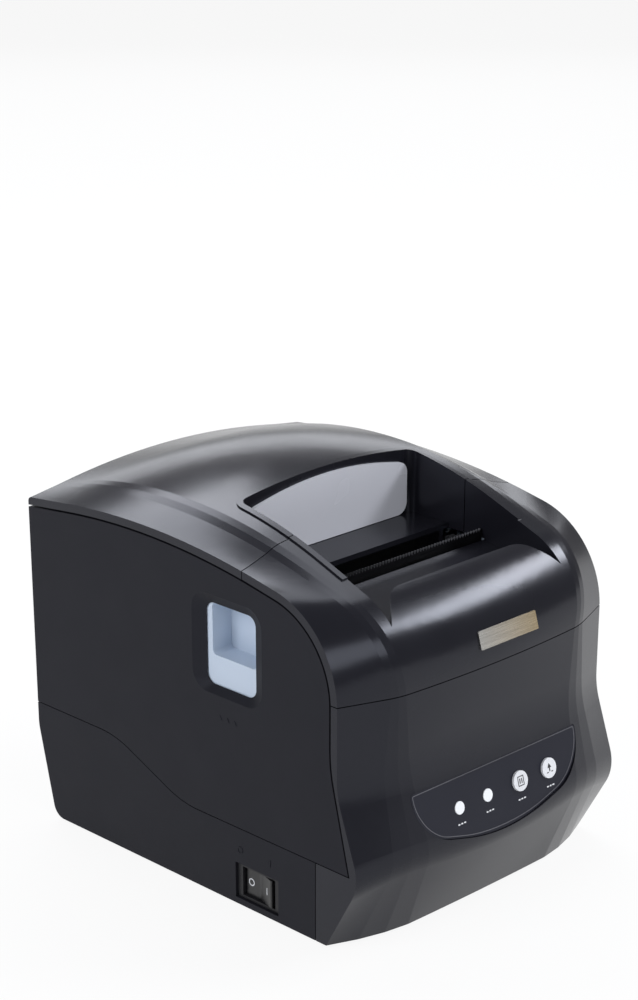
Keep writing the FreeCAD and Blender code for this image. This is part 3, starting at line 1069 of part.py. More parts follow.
# Power switch: body in the left wall and a rocker that tips about a vertical axis.
switch = new_body("switch_body_body")
pad(switch, "switch_case", "YZ",
    rect(about(d.switch_y, d.switch_long - 0.4), about(d.switch_z, d.switch_high - 0.4), 0.8),
    (-half + d.switch_inset, -half + 16))
pocket(switch, "switch_well", "YZ",
    rect(about(d.switch_y, d.rocker_long + 0.8), about(d.switch_z, d.rocker_high + 0.6)),
       (-half + d.switch_inset - 1, -half + d.switch_inset + 9))
pivot_x = -half + d.switch_inset + d.rocker_deep
pad(switch, "switch_pivot", "XY", [], about(d.switch_z, d.rocker_high + 2),
    [(pivot_x, d.switch_y, d.rocker_pivot)])
part(switch, "switch_body")
rocker = new_body("rocker_body", pivot_x, d.switch_y, d.switch_z - d.rocker_high / 2,
                  FreeCAD.Rotation(FreeCAD.Vector(0, 0, 1), -d.rocker_tilt.value))
pad(rocker, "rocker_pad", "XY", [
    (-4.2, -d.rocker_long / 2 + 0.3, 0.6), (-3.1, 0, 6), (-4.2, d.rocker_long / 2 - 0.3, 0.6),
    (0.5, d.rocker_long / 2 - 0.6, 1),
    (3.2, 4, 1), (3.2, -4, 1), (0.5, -d.rocker_long / 2 + 0.6, 1)], (0, d.rocker_high),
    [(0, 0, d.rocker_pivot + d.fit_gap)])
part(rocker, "power_rocker")

doc.recompute()
failed = [item.Name for item in doc.Objects if "Invalid" in item.State or "Error" in item.State]
for item in doc.Objects:
    if item.TypeId == "PartDesign::Pocket" and item.BaseFeature:
        if item.Shape.Volume > item.BaseFeature.Shape.Volume - 1e-6:
            failed.append(item.Name + " cuts nothing")
for item in parts:
    if item.Shape.isNull() or not item.Shape.isValid() or not item.Shape.Solids:
        failed.append(item.Label + " has no sound solid")
if failed:
    raise RuntimeError("not built: " + ", ".join(failed))

os.makedirs("parts", exist_ok=True)
for item in parts:
    item.Shape.exportStep(os.path.join("parts", item.Label + ".step"))
    print("%-20s %d solids %10.1f mm3" % (item.Label, len(item.Shape.Solids), item.Shape.Volume))
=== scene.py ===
# %% [markdown]
# # A desktop label printer, dressed in Blender
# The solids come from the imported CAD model, in metres, with the front towards -Y and the feet on
# Z = 0. This lesson adds what a solid modeller leaves out: finishes, printed signs, small screws,
# light and camera.

# %% Load the frame
import json
import math

import bmesh
import bpy
from mathutils import Matrix, Vector


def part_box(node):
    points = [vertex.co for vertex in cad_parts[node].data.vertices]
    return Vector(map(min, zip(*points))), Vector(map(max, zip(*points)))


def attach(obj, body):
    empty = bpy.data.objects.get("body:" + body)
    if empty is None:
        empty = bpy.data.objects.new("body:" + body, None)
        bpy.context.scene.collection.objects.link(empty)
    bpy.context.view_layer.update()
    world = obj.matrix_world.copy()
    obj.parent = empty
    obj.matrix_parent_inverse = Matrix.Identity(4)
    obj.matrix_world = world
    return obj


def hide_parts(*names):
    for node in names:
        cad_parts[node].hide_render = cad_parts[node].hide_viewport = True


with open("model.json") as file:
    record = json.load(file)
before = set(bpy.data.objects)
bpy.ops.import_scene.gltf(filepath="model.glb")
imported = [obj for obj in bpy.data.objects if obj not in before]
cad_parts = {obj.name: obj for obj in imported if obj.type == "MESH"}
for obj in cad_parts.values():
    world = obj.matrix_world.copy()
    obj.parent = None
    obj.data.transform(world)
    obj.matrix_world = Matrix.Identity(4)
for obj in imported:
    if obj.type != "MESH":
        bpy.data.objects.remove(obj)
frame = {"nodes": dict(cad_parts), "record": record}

MM = 0.001
scene = bpy.context.scene
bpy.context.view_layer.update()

# %% [markdown]
# ## Camera
# The photograph looks down on the left front corner with a long lens, so parallel edges stay
# nearly parallel. A camera matrix built from two angles and a distance is easier to check than
# three Euler angles.

# %% Place the camera
SWING, RISE = 0.784853, 0.395004
DISTANCE, ASIDE, ABOVE = 1.00117, -0.0055953, 0.0590828
LENS = 87.4555
LIFT = 0.185
MODEL_SHIFT = Vector((0, -0.0015, 0))

back = Vector((-math.sin(SWING) * math.cos(RISE), -math.cos(SWING) * math.cos(RISE), math.sin(RISE)))
right = Vector((math.cos(SWING), -math.sin(SWING), 0))
up = back.cross(right)
stand = back * DISTANCE + right * ASIDE + up * ABOVE + MODEL_SHIFT
camera = bpy.data.objects.new("photo_camera", bpy.data.cameras.new("photo_camera"))
camera.matrix_world = Matrix.Translation(stand) @ Matrix((right, up, back)).transposed().to_4x4()
camera.data.lens = LENS
camera.data.shift_y = LIFT
scene.collection.objects.link(camera)
scene.camera = camera
scene.view_settings.view_transform = "Standard"
print("camera at", [round(v, 3) for v in camera.location])

# %% [markdown]
# ## Floor and light
# The printer stands in a white studio. The floor keeps a soft shadow, and rays that come from the
# camera, or that a glossy or clear surface sends on, see it white. The air around is an even grey.
# Black plastic shows little of its own colour, so each large lamp is placed where a cheek, the lip
# or the crown of the lid mirrors it to the camera.

# %% Material nodes in a few words
def add_node(material, kind, **values):
    """A shader node, with its properties and inputs set by name."""
    made = material.node_tree.nodes.new("ShaderNode" + kind)
    for name, value in values.items():
        if name in made.inputs:
            made.inputs[name].default_value = value
        else:
            setattr(made, name, value)
    return made


def wire(material, source, target):
    material.node_tree.links.new(source, target)


# %% Grey air and white floor
WHITE = (1, 1, 1, 1)
AIR_STRENGTH = 0.24
FLOOR_GREY, FLOOR_ROUGH = (0.9, 0.9, 0.9, 1), 0.9
FLOOR_GLOW = 0.9
FLOOR_HALF = 30


def seen_directly(material):
    """1 for rays that show the floor itself: from the camera, or by way of gloss or clear plastic."""
    path = add_node(material, "LightPath")
    total = path.outputs["Is Camera Ray"]
    for ray in ("Is Glossy Ray", "Is Transmission Ray"):
        either = add_node(material, "Math", operation="MAXIMUM")
        wire(material, total, either.inputs[0])
        wire(material, path.outputs[ray], either.inputs[1])
        total = either.outputs[0]
    return total


world = bpy.data.worlds.new("grey_air")
scene.world = world
world.use_nodes = True
air = world.node_tree.nodes["Background"]
air.inputs["Color"].default_value = WHITE
air.inputs["Strength"].default_value = AIR_STRENGTH

floor_paint = bpy.data.materials.new("floor_paint")
floor_paint.use_nodes = True
floor_shader = floor_paint.node_tree.nodes["Principled BSDF"]
floor_shader.inputs["Base Color"].default_value = FLOOR_GREY
floor_shader.inputs["Roughness"].default_value = FLOOR_ROUGH
glow = add_node(floor_paint, "Emission", Color=WHITE, Strength=1.0)
blend = add_node(floor_paint, "MixShader")
share = add_node(floor_paint, "Math", operation="MULTIPLY")
share.inputs[1].default_value = FLOOR_GLOW
wire(floor_paint, seen_directly(floor_paint), share.inputs[0])
wire(floor_paint, share.outputs[0], blend.inputs[0])
wire(floor_paint, floor_shader.outputs[0], blend.inputs[1])
wire(floor_paint, glow.outputs[0], blend.inputs[2])
floor_output = floor_paint.node_tree.nodes["Material Output"]
wire(floor_paint, blend.outputs[0], floor_output.inputs["Surface"])

floor_bm = bmesh.new()
bmesh.ops.create_grid(floor_bm, x_segments=1, y_segments=1, size=FLOOR_HALF)
floor_mesh = bpy.data.meshes.new("studio_floor")
floor_bm.to_mesh(floor_mesh)
floor_bm.free()
studio_floor = bpy.data.objects.new("studio_floor", floor_mesh)
studio_floor.data.materials.append(floor_paint)
scene.collection.objects.link(studio_floor)


# %% Soft lamps
COOL_WHITE = (0.93, 0.95, 1.0)
LAMP_AIM = Vector((0, 0, 0.08))


def soft_lamp(name, place, size, watts):
    """A rectangular lamp that looks at the middle of the printer."""
    lamp = bpy.data.lights.new(name, "AREA")
    lamp.shape = "RECTANGLE"
    lamp.size, lamp.size_y = size
    lamp.energy = watts
    lamp.color = COOL_WHITE
    obj = bpy.data.objects.new(name, lamp)
    turn = (Vector(place) - LAMP_AIM).to_track_quat("Z", "Y").to_matrix().to_4x4()
    obj.matrix_world = Matrix.Translation(place) @ turn
    scene.collection.objects.link(obj)


soft_lamp("rear_softbox", place=(1.5, 1.5, 0.62), size=(2.4, 0.5), watts=7)
soft_lamp("ceiling_softbox", place=(0.4, 1.1, 1.35), size=(1.0, 0.6), watts=13)
soft_lamp("shoulder_softbox", place=(0.74, 0.42, 1.35), size=(0.6, 0.6), watts=3)
soft_lamp("lip_softbox", place=(1.2, -0.62, 1.11), size=(0.85, 0.3), watts=16)
soft_lamp("left_softbox", place=(-1.4, 0.2, 0.9), size=(0.9, 0.9), watts=12)
soft_lamp("front_softbox", place=(-0.2, -1.6, 0.9), size=(1.2, 0.6), watts=8)
print("lamps:", len(bpy.data.lights))


# %% [markdown]
# ## Finishes
# Every finish is a Principled shader fed by small procedural textures in Object coordinates, so
# they stay on the piece at any pose. One noise changes the colour a little, one the gloss, and a
# finer one is the surface's relief.

# %% Building blocks for finishes
MIX_FIRST, MIX_SECOND, MIX_COLOUR = 6, 7, 2     # colour sockets of the Mix node
NOISE_LOW, NOISE_HIGH = 0.3, 0.7                # noise seldom leaves this range


def new_finish(name, colour, roughness, **sockets):
    material = bpy.data.materials.new(name)
    material.use_nodes = True
    shader = material.node_tree.nodes["Principled BSDF"]
    shader.inputs["Base Color"].default_value = (*colour, 1)
    shader.inputs["Roughness"].default_value = roughness
    for socket, value in sockets.items():
        shader.inputs[socket.replace("_", " ")].default_value = value
    return material


def shader_input(material, name):
    return material.node_tree.nodes["Principled BSDF"].inputs[name]


def grain(material, scale, detail, stretch=(1, 1, 1)):
    """Noise with about `scale` grains to the metre, drawn out where the stretch is small."""
    spot = add_node(material, "TexCoord")
    mapping = add_node(material, "Mapping", Scale=stretch)
    noise = add_node(material, "TexNoise", Scale=scale, Detail=detail)
    wire(material, spot.outputs["Object"], mapping.inputs["Vector"])
    wire(material, mapping.outputs[0], noise.inputs["Vector"])
    return noise.outputs[0]


def tint(material, source, first, second):
    """Base colour that wanders between two colours."""
    mix = add_node(material, "Mix", data_type="RGBA")
    mix.inputs[MIX_FIRST].default_value = (*first, 1)
    mix.inputs[MIX_SECOND].default_value = (*second, 1)
    wire(material, source, mix.inputs[0])
    wire(material, mix.outputs[MIX_COLOUR], shader_input(material, "Base Color"))


def gloss(material, source, low, high):
    """Roughness that wanders between two values."""
    spread = add_node(material, "MapRange", **{
        "From Min": NOISE_LOW, "From Max": NOISE_HIGH, "To Min": low, "To Max": high})
    wire(material, source, spread.inputs["Value"])
    wire(material, spread.outputs[0], shader_input(material, "Roughness"))


def relief(material, source, depth):
    """Surface relief of this depth in metres."""
    bump = add_node(material, "Bump", Distance=depth)
    wire(material, source, bump.inputs["Height"])
    wire(material, bump.outputs[0], shader_input(material, "Normal"))


# %% [markdown]
# Moulded plastic: the lid and the front are polished in the mould, with a faint orange peel. The
# sides have the fine even grit that spark erosion leaves in the tool. The inner pieces are plain
# satin.

# %% Moulded plastics
BLUE_SHEEN = (0.86, 0.89, 1.0, 1)


def gritty(name, colour, rough, grit, depth, **sockets):
    """A finish with gloss and relief, whose colour is still plain."""
    material = new_finish(name, colour, rough[0], **sockets)
    gloss(material, grain(material, scale=60, detail=2), *rough)
    relief(material, grain(material, scale=grit, detail=1), depth)
    return material


def moulded(name, dark, light, rough, grit, depth, **sockets):
    material = gritty(name, dark, rough, grit, depth, **sockets)
    tint(material, grain(material, scale=45, detail=3), dark, light)
    return material


gloss_black = moulded(
    "gloss_black", dark=(0.009, 0.009, 0.0125), light=(0.012, 0.012, 0.0165), rough=(0.2, 0.23),
    grit=900, depth=1.5e-6, Specular_IOR_Level=0.3, Specular_Tint=BLUE_SHEEN)
matt_black = moulded(
    "matt_black", dark=(0.012, 0.012, 0.0155), light=(0.014, 0.014, 0.0185), rough=(0.54, 0.57),
    grit=2600, depth=3e-5, Specular_IOR_Level=0.16, Specular_Tint=BLUE_SHEEN)
inner_black = moulded(
    "inner_black", dark=(0.012, 0.012, 0.014), light=(0.018, 0.018, 0.02), rough=(0.36, 0.46),
    grit=900, depth=8e-6, Specular_IOR_Level=0.3)
rocker_black = moulded(
    "rocker_black", dark=(0.008, 0.008, 0.009), light=(0.013, 0.013, 0.014), rough=(0.26, 0.34),
    grit=1500, depth=8e-6)
latch_grey = moulded(
    "latch_grey", dark=(0.5, 0.58, 0.69), light=(0.54, 0.62, 0.73), rough=(0.36, 0.44),
    grit=1300, depth=6e-6)
button_white = moulded(
    "button_white", dark=(0.78, 0.79, 0.82), light=(0.84, 0.85, 0.87), rough=(0.32, 0.4),
    grit=1800, depth=4e-6)
gear_white = moulded(
    "gear_white", dark=(0.68, 0.66, 0.58), light=(0.76, 0.74, 0.67), rough=(0.36, 0.46),
    grit=700, depth=6e-6, Subsurface_Weight=0.1, Subsurface_Scale=0.001)
gear_grey = moulded(
    "gear_grey", dark=(0.03, 0.031, 0.034), light=(0.04, 0.041, 0.045), rough=(0.36, 0.46),
    grit=800, depth=6e-6)
overlay_grey = moulded(
    "overlay_grey", dark=(0.014, 0.0145, 0.022), light=(0.018, 0.0185, 0.027), rough=(0.28, 0.36),
    grit=2200, depth=5e-6, Specular_IOR_Level=0.22, Specular_Tint=BLUE_SHEEN)

# %% [markdown]
# The window behind the paper outlet is pale and lets a little light through. The two lamp lenses
# are milky, with a faint glow of their own.

# %% Clear plastics
window_grey = moulded(
    "window_grey", dark=(0.72, 0.73, 0.79), light=(0.75, 0.76, 0.82), rough=(0.2, 0.28),
    grit=260, depth=3e-6, Transmission_Weight=0.05)
lens_white = moulded(
    "lens_white", dark=(0.82, 0.84, 0.88), light=(0.88, 0.9, 0.93), rough=(0.2, 0.26),
    grit=900, depth=3e-6, Emission_Color=WHITE, Emission_Strength=0.1)


# %% [markdown]
# Metals: bars and pins are drawn, so their scratches run along X. Sheet is zinc plated with a
# crystalline bloom.

# %% Metals
DRAWN_ALONG_X = (0.03, 1, 1)


def scratched(name, colour, rough, depth):
    """Bare metal with fine scratches along X, whose colour is still plain."""
    material = new_finish(name, colour, rough[0], Metallic=1.0)
    lines = grain(material, scale=1800, detail=3, stretch=DRAWN_ALONG_X)
    gloss(material, lines, *rough)
    relief(material, lines, depth)
    return material


def drawn_metal(name, dark, light, rough):
    material = scratched(name, dark, rough, depth=3e-6)
    tint(material, grain(material, scale=220, detail=4), dark, light)
    return material


def plated_sheet(name, dark, light, rough):
    material = new_finish(name, dark, rough[0], Metallic=1.0)
    spot = add_node(material, "TexCoord")
    bloom = add_node(material, "TexVoronoi", Scale=160.0)
    wire(material, spot.outputs["Object"], bloom.inputs["Vector"])
    tone = add_node(material, "RGBToBW")
    wire(material, bloom.outputs["Color"], tone.inputs[0])
    tint(material, tone.outputs[0], dark, light)
    gloss(material, tone.outputs[0], *rough)
    relief(material, grain(material, scale=900, detail=2), depth=4e-6)
    return material


steel = drawn_metal("steel", (0.5, 0.51, 0.53), (0.6, 0.61, 0.63), (0.2, 0.34))
sink_aluminium = drawn_metal("sink_aluminium", (0.6, 0.61, 0.63), (0.7, 0.71, 0.73), (0.3, 0.42))
dark_steel = drawn_metal("dark_steel", (0.07, 0.07, 0.075), (0.1, 0.1, 0.105), (0.26, 0.38))
gear_brass = drawn_metal("gear_brass", (0.62, 0.44, 0.16), (0.72, 0.54, 0.24), (0.22, 0.34))
zinc_steel = plated_sheet("zinc_steel", (0.4, 0.42, 0.45), (0.52, 0.54, 0.57), (0.3, 0.46))

# %% [markdown]
# The badge is a thin bare plate, whose anodising goes from silver to pale gold along its length.

# %% Badge metal
SILVER, PALE_GOLD = (0.74, 0.73, 0.7), (0.66, 0.53, 0.34)

badge_metal = scratched("badge_metal", (0.72, 0.72, 0.7), (0.2, 0.3), depth=2e-6)
badge_low, badge_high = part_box("badge_plate")
sweep_spot = add_node(badge_metal, "TexCoord")
sweep = add_node(badge_metal, "SeparateXYZ")
wire(badge_metal, sweep_spot.outputs["Object"], sweep.inputs[0])
along_badge = add_node(badge_metal, "MapRange", **{
    "From Min": badge_low.x, "From Max": badge_high.x, "To Min": 0.0, "To Max": 1.0})
wire(badge_metal, sweep.outputs["X"], along_badge.inputs["Value"])
tint(badge_metal, along_badge.outputs[0], SILVER, PALE_GOLD)

# %% [markdown]
# Rubber is nearly black and rough. The platen is ground, so its relief is finer than that of the
# moulded feet. The circuit board shows its tracks as the joints of a fine brick pattern.

# %% Rubber, ceramic, circuit board, print and a painted highlight
BOARD_GREEN, BOARD_GREEN_TOO = (0.012, 0.09, 0.035), (0.015, 0.1, 0.04)
TRACK_GREEN = (0.05, 0.22, 0.09)

foot_rubber = moulded(
    "foot_rubber", dark=(0.014, 0.014, 0.014), light=(0.022, 0.022, 0.022), rough=(0.75, 0.85),
    grit=1500, depth=3e-5)
platen_rubber = moulded(
    "platen_rubber", dark=(0.018, 0.018, 0.019), light=(0.026, 0.026, 0.027), rough=(0.6, 0.7),
    grit=4000, depth=1e-5)
head_ceramic = moulded(
    "head_ceramic", dark=(0.5, 0.45, 0.36), light=(0.56, 0.51, 0.42), rough=(0.1, 0.16),
    grit=500, depth=2e-6)

board_green = gritty("board_green", BOARD_GREEN, rough=(0.28, 0.36), grit=700, depth=4e-6)
board_spot = add_node(board_green, "TexCoord")
tracks = add_node(board_green, "TexBrick", Scale=140.0, Mortar=(*TRACK_GREEN, 1), **{
    "Mortar Size": 0.03, "Color1": (*BOARD_GREEN, 1), "Color2": (*BOARD_GREEN_TOO, 1)})
wire(board_green, board_spot.outputs["Object"], tracks.inputs["Vector"])
wire(board_green, tracks.outputs["Color"], shader_input(board_green, "Base Color"))

white_print = moulded(
    "white_print", dark=(0.72, 0.73, 0.75), light=(0.8, 0.81, 0.83), rough=(0.45, 0.55),
    grit=3000, depth=3e-6)
# Grey of the painted highlight that stands for the light caught by the overlay's edge.
overlay_highlight_grey = moulded(
    "overlay_highlight_grey", dark=(0.1, 0.1, 0.115), light=(0.13, 0.13, 0.145), rough=(0.4, 0.5),
    grit=3000, depth=3e-6)
black_print = moulded(
    "black_print", dark=(0.02, 0.02, 0.022), light=(0.03, 0.03, 0.032), rough=(0.45, 0.55),
    grit=3000, depth=3e-6)

# %% [markdown]
# ## Dress the CAD pieces
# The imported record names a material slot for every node, and each slot has a finish of its name.

# %% Give each node its finish
FINISHES = {
    "gloss_black": gloss_black, "matt_black": matt_black, "inner_black": inner_black,
    "rocker_black": rocker_black, "latch_grey": latch_grey, "button_white": button_white,
    "gear_white": gear_white, "gear_grey": gear_grey, "overlay_grey": overlay_grey,
    "window_grey": window_grey, "lens_white": lens_white, "steel": steel,
    "dark_steel": dark_steel, "sink_aluminium": sink_aluminium, "gear_brass": gear_brass,
    "zinc_steel": zinc_steel, "badge_metal": badge_metal, "foot_rubber": foot_rubber,
    "platen_rubber": platen_rubber, "head_ceramic": head_ceramic, "board_green": board_green,
}
for entry in frame["record"]["subparts"]:
    dressed = frame["nodes"][entry["node"]]
    dressed.data.materials.clear()
    dressed.data.materials.append(FINISHES[entry["material_slot"]])


# %% Add a piece that rides on a body
def add_piece(mesh, finish, body):
    mesh.materials.append(finish)
    piece = bpy.data.objects.new(mesh.name, mesh)
    scene.collection.objects.link(piece)
    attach(piece, body)
    return piece


# %% [markdown]
# ## A clean edge for the lid
# In the solid model the two sides of the lid's skirt run out in hair-thin fins, a centimetre past
# the front seam. They would stand up like whiskers when the lid is open, so a copy of the lid
# takes its place. The copy's loose triangles are merged, the fins are cut off in the plane of the
# seam, and the small holes are closed. Merging would round every edge in the shading, so each
# corner first writes down its own normal and gets it back at the end.

# %% Lid without fins
SEAM_Y = -27.65 * MM
SKIRT_X = 71.3 * MM
WELD = 0.001 * MM
CUT_TOLERANCE = 1e-7

lid_source = frame["nodes"]["lid"].data
lid_cover = bmesh.new()
lid_cover.from_mesh(lid_source)
kept_normal = lid_cover.loops.layers.float_vector.new("kept_normal")
lid_corners = (loop for face in lid_cover.faces for loop in face.loops)
for loop, corner in zip(lid_corners, lid_source.corner_normals):
    loop[kept_normal] = corner.vector
bmesh.ops.remove_doubles(lid_cover, verts=lid_cover.verts, dist=WELD)
fins = [f for f in lid_cover.faces if all(abs(v.co.x) > SKIRT_X for v in f.verts)
        and min(v.co.y for v in f.verts) < SEAM_Y]
fin_parts = list({part for f in fins for part in (f, *f.edges, *f.verts)})
bmesh.ops.bisect_plane(lid_cover, geom=fin_parts, dist=CUT_TOLERANCE, plane_co=(0, SEAM_Y, 0),
                       plane_no=(0, -1, 0), clear_outer=True)
rims = [e for e in lid_cover.edges if e.is_boundary]
bmesh.ops.holes_fill(lid_cover, edges=rims, sides=0)
print("lid: fin faces", len(fins), "open edges left", sum(e.is_boundary for e in lid_cover.edges))

lid_mesh = bpy.data.meshes.new("lid_cover")
lid_cover.to_mesh(lid_mesh)
lid_cover.free()
lid_mesh.shade_smooth()
written_normals = lid_mesh.attributes["kept_normal"]
lid_mesh.normals_split_custom_set([item.vector for item in written_normals.data])
lid_mesh.attributes.remove(lid_mesh.attributes["kept_normal"])
lid_piece = add_piece(lid_mesh, gloss_black, "lid_body")
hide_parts("lid")

# %% [markdown]
# ## Printed signs and raised marks
# Signs are thin raised pieces. Each is drawn flat, in millimetres, and then laid on its surface by
# a matrix whose columns are the surface's own directions.

# %% Lay a flat drawing on a surface
def surface(origin, across, upward):
    """Matrix from a flat drawing to a surface at `origin`, both in millimetres."""
    across, upward = Vector(across).normalized(), Vector(upward).normalized()
    turn = Matrix((across, upward, across.cross(upward))).transposed().to_4x4()
    return Matrix.Scale(MM, 4) @ Matrix.Translation(origin) @ turn


def settle(bm, name, place, finish, body):
    """Turns a drawing into a piece that rides on a body."""
    bmesh.ops.transform(bm, matrix=place, verts=bm.verts)
    bmesh.ops.recalc_face_normals(bm, faces=bm.faces)
    mesh = bpy.data.meshes.new(name)
    bm.to_mesh(mesh)
    bm.free()
    add_piece(mesh, finish, body)
    print(name, "faces:", len(mesh.polygons))


# %% Shapes that the drawings are made of
CORNER_STEPS = 4
CORNER_LIMIT = 0.49     # the largest corner, as a share of the bar's width
RING_STEPS = 40


def push(bm, faces, height):
    """Extrudes faces along Z."""
    moved = bmesh.ops.extrude_face_region(bm, geom=faces)["geom"]
    bmesh.ops.translate(bm, vec=(0, 0, height),
                        verts=[part for part in moved if isinstance(part, bmesh.types.BMVert)])


def add_bar(bm, centre, size, height, corner):
    """A flat bar with rounded corners."""
    place = Matrix.Translation((*centre, height / 2)) @ Matrix.Diagonal((*size, height, 1))
    made = bmesh.ops.create_cube(bm, size=1, matrix=place)
    uprights = {e for v in made["verts"] for e in v.link_edges
                if abs(e.verts[0].co.z - e.verts[1].co.z) > height / 2}
    bmesh.ops.bevel(bm, geom=list(uprights), offset=min(corner, min(size) * CORNER_LIMIT),
                    segments=CORNER_STEPS, profile=0.5, affect="EDGES", material=-1)


def add_ring(bm, radius, width, height):
    """A flat ring, spun from its cross-section."""
    inner, outer = radius - width / 2, radius + width / 2
    section = [bm.verts.new((r, 0, z)) for r, z in (
        (inner, 0), (outer, 0), (outer, height), (inner, height))]
    edges = [bm.edges.new((section[i - 1], section[i])) for i in range(4)]
    bmesh.ops.spin(bm, geom=edges, cent=(0, 0, 0), axis=(0, 0, 1), angle=math.tau,
                   steps=RING_STEPS, use_merge=True)


def add_arrow(bm, centre, radius, height):
    """A flat triangle that points up the drawing."""
    made = bmesh.ops.create_circle(bm, segments=3, radius=radius, cap_ends=True,
                                   matrix=Matrix.Translation((*centre, 0)))
    push(bm, list({f for v in made["verts"] for f in v.link_faces}), height)


# %% [markdown]
# The control panel leans back by 15 degrees. The two buttons carry generic pictograms, a sheet
# with two pause bars and an arrow over a sheet edge, and each control has a small printed mark
# below it.

# %% Control panel signs
PANEL_ORIGIN = Vector((0, -87.9, 59.3))
PANEL_LEAN = math.radians(15)
PANEL_UP = Vector((0, math.sin(PANEL_LEAN), math.cos(PANEL_LEAN)))
PANEL_OUT = Vector((0, -math.cos(PANEL_LEAN), math.sin(PANEL_LEAN)))
CONTROL_ROW = -12.3
ONLINE_X, ERROR_X, PAUSE_X, FEED_X = -23.1, -7.2, 11.1, 28.0
BUTTON_PROUD = 0.9
PRINT_HIGH = 0.05
SHEET_X, SHEET_Y, SHEET_LINE = 1.55, 1.83, 0.34
PAUSE_X_STEP = 0.55
FEED_EDGE_X = 1.3
UNDER_LENS, UNDER_BUTTON = -6.2, -7.2
CAPTION_STEP = 1.6


def on_panel(x, row, proud):
    spot = PANEL_ORIGIN + Vector((x, 0, 0)) + PANEL_UP * row + PANEL_OUT * proud
    return surface(spot, (1, 0, 0), PANEL_UP)


pause_sign = bmesh.new()
for x in (-SHEET_X, SHEET_X):
    add_bar(pause_sign, (x, 0), (SHEET_LINE, 4.0), PRINT_HIGH, corner=0.1)
for y in (-SHEET_Y, SHEET_Y):
    add_bar(pause_sign, (0, y), (2.8, SHEET_LINE), PRINT_HIGH, corner=0.1)
for x in (-PAUSE_X_STEP, PAUSE_X_STEP):
    add_bar(pause_sign, (x, 0), (0.5, 2.0), PRINT_HIGH, corner=0.1)
settle(pause_sign, "pause_sign", on_panel(PAUSE_X, CONTROL_ROW, BUTTON_PROUD), black_print,
       "pause_body")

feed_sign = bmesh.new()
add_arrow(feed_sign, (0, 0.75), 1.25, PRINT_HIGH)
add_bar(feed_sign, (0, -0.55), (0.6, 1.6), PRINT_HIGH, corner=0.1)
for x in (-FEED_EDGE_X, FEED_EDGE_X):
    add_bar(feed_sign, (x, -1.6), (1.0, 0.4), PRINT_HIGH, corner=0.12)
settle(feed_sign, "feed_sign", on_panel(FEED_X, CONTROL_ROW, BUTTON_PROUD), black_print,
       "feed_body")

captions = bmesh.new()
for x, below in ((ONLINE_X, UNDER_LENS), (ERROR_X, UNDER_LENS),
                 (PAUSE_X, UNDER_BUTTON), (FEED_X, UNDER_BUTTON)):
    for step in (-CAPTION_STEP, 0, CAPTION_STEP):
        add_bar(captions, (x + step, CONTROL_ROW + below), (1.1, 0.55), PRINT_HIGH, corner=0.2)
settle(captions, "control_captions", on_panel(0, 0, 0), white_print, "case_body")

# %% [markdown]
# A fine pale line just inside the edge of the overlay is a painted highlight, for the light that the
# overlay's edge catches. Its outline is a five-cornered face whose corners are rounded by a vertex
# bevel, each with the tangent length of its own arc. Two insets leave only a narrow band.

# %% Painted highlight round the overlay
OVERLAY_CORNERS = (((-46.9, 0), 1.5), ((-46.9, -18), 16.3), ((0, -30), 23.0),
                   ((46.9, -18), 16.3), ((46.9, 0), 1.5))
ROUND_STEPS = 10
HIGHLIGHT_INSET, HIGHLIGHT_WIDE = 0.7, 0.3


def inset(bm, thickness):
    """Draws the outline in, and gives the faces between the old outline and the new one."""
    return bmesh.ops.inset_region(bm, faces=bm.faces[:], thickness=thickness, use_boundary=True,
                                  use_even_offset=True)["faces"]


# Painted highlight: a pale band along the overlay's edge, standing for the light that the edge
# catches.
overlay_edge_highlight = bmesh.new()
corners = [overlay_edge_highlight.verts.new((*spot, 0)) for spot, _ in OVERLAY_CORNERS]
overlay_edge_highlight.faces.new(corners)
for corner, (_, tangent) in zip(corners, OVERLAY_CORNERS):
    bmesh.ops.bevel(overlay_edge_highlight, geom=[corner], offset=tangent, segments=ROUND_STEPS,
                    profile=0.5, affect="VERTICES", material=-1)
bmesh.ops.delete(overlay_edge_highlight, geom=inset(overlay_edge_highlight, HIGHLIGHT_INSET), context="FACES")
band = inset(overlay_edge_highlight, HIGHLIGHT_WIDE)
inside = set(overlay_edge_highlight.faces) - set(band)
bmesh.ops.delete(overlay_edge_highlight, geom=list(inside), context="FACES")
push(overlay_edge_highlight, overlay_edge_highlight.faces[:], PRINT_HIGH)
settle(overlay_edge_highlight, "overlay_edge_highlight", on_panel(0, 0, 0), overlay_highlight_grey, "case_body")

# %% [markdown]
# The power rocker has the usual signs, a ring for off on the half that is pressed in and a bar for
# on. The rocker rests tilted, so the drawing is turned with it.

# %% Rocker signs
ROCKER_PIVOT = Vector((-68.4, -34.1, 11.1))
ROCKER_REST = Matrix.Rotation(math.radians(-8), 3, "Z")
ROCKER_VALLEY, ROCKER_EDGE = (-3.1, 0.0), (-4.2, 8.2)
FRONT, REAR = -1, 1
SIGN_REACH = 5.0


def on_rocker(half):
    """Drawing plane on the front or rear half of the rocker, SIGN_REACH from its valley."""
    valley = Vector((*ROCKER_VALLEY, 0))
    edge = Vector((ROCKER_EDGE[0], half * ROCKER_EDGE[1], 0))
    slope = (edge - valley).normalized()
    spot = ROCKER_PIVOT + ROCKER_REST @ (valley + slope * SIGN_REACH)
    return surface(spot, ROCKER_REST @ (slope * -half), (0, 0, 1))


off_ring = bmesh.new()
add_ring(off_ring, radius=1.35, width=0.45, height=PRINT_HIGH)
settle(off_ring, "rocker_off_ring", on_rocker(REAR), white_print, "rocker_body")
on_bar = bmesh.new()
add_bar(on_bar, (0, 0), (0.45, 3.0), PRINT_HIGH, corner=0.15)
settle(on_bar, "rocker_on_bar", on_rocker(FRONT), white_print, "rocker_body")

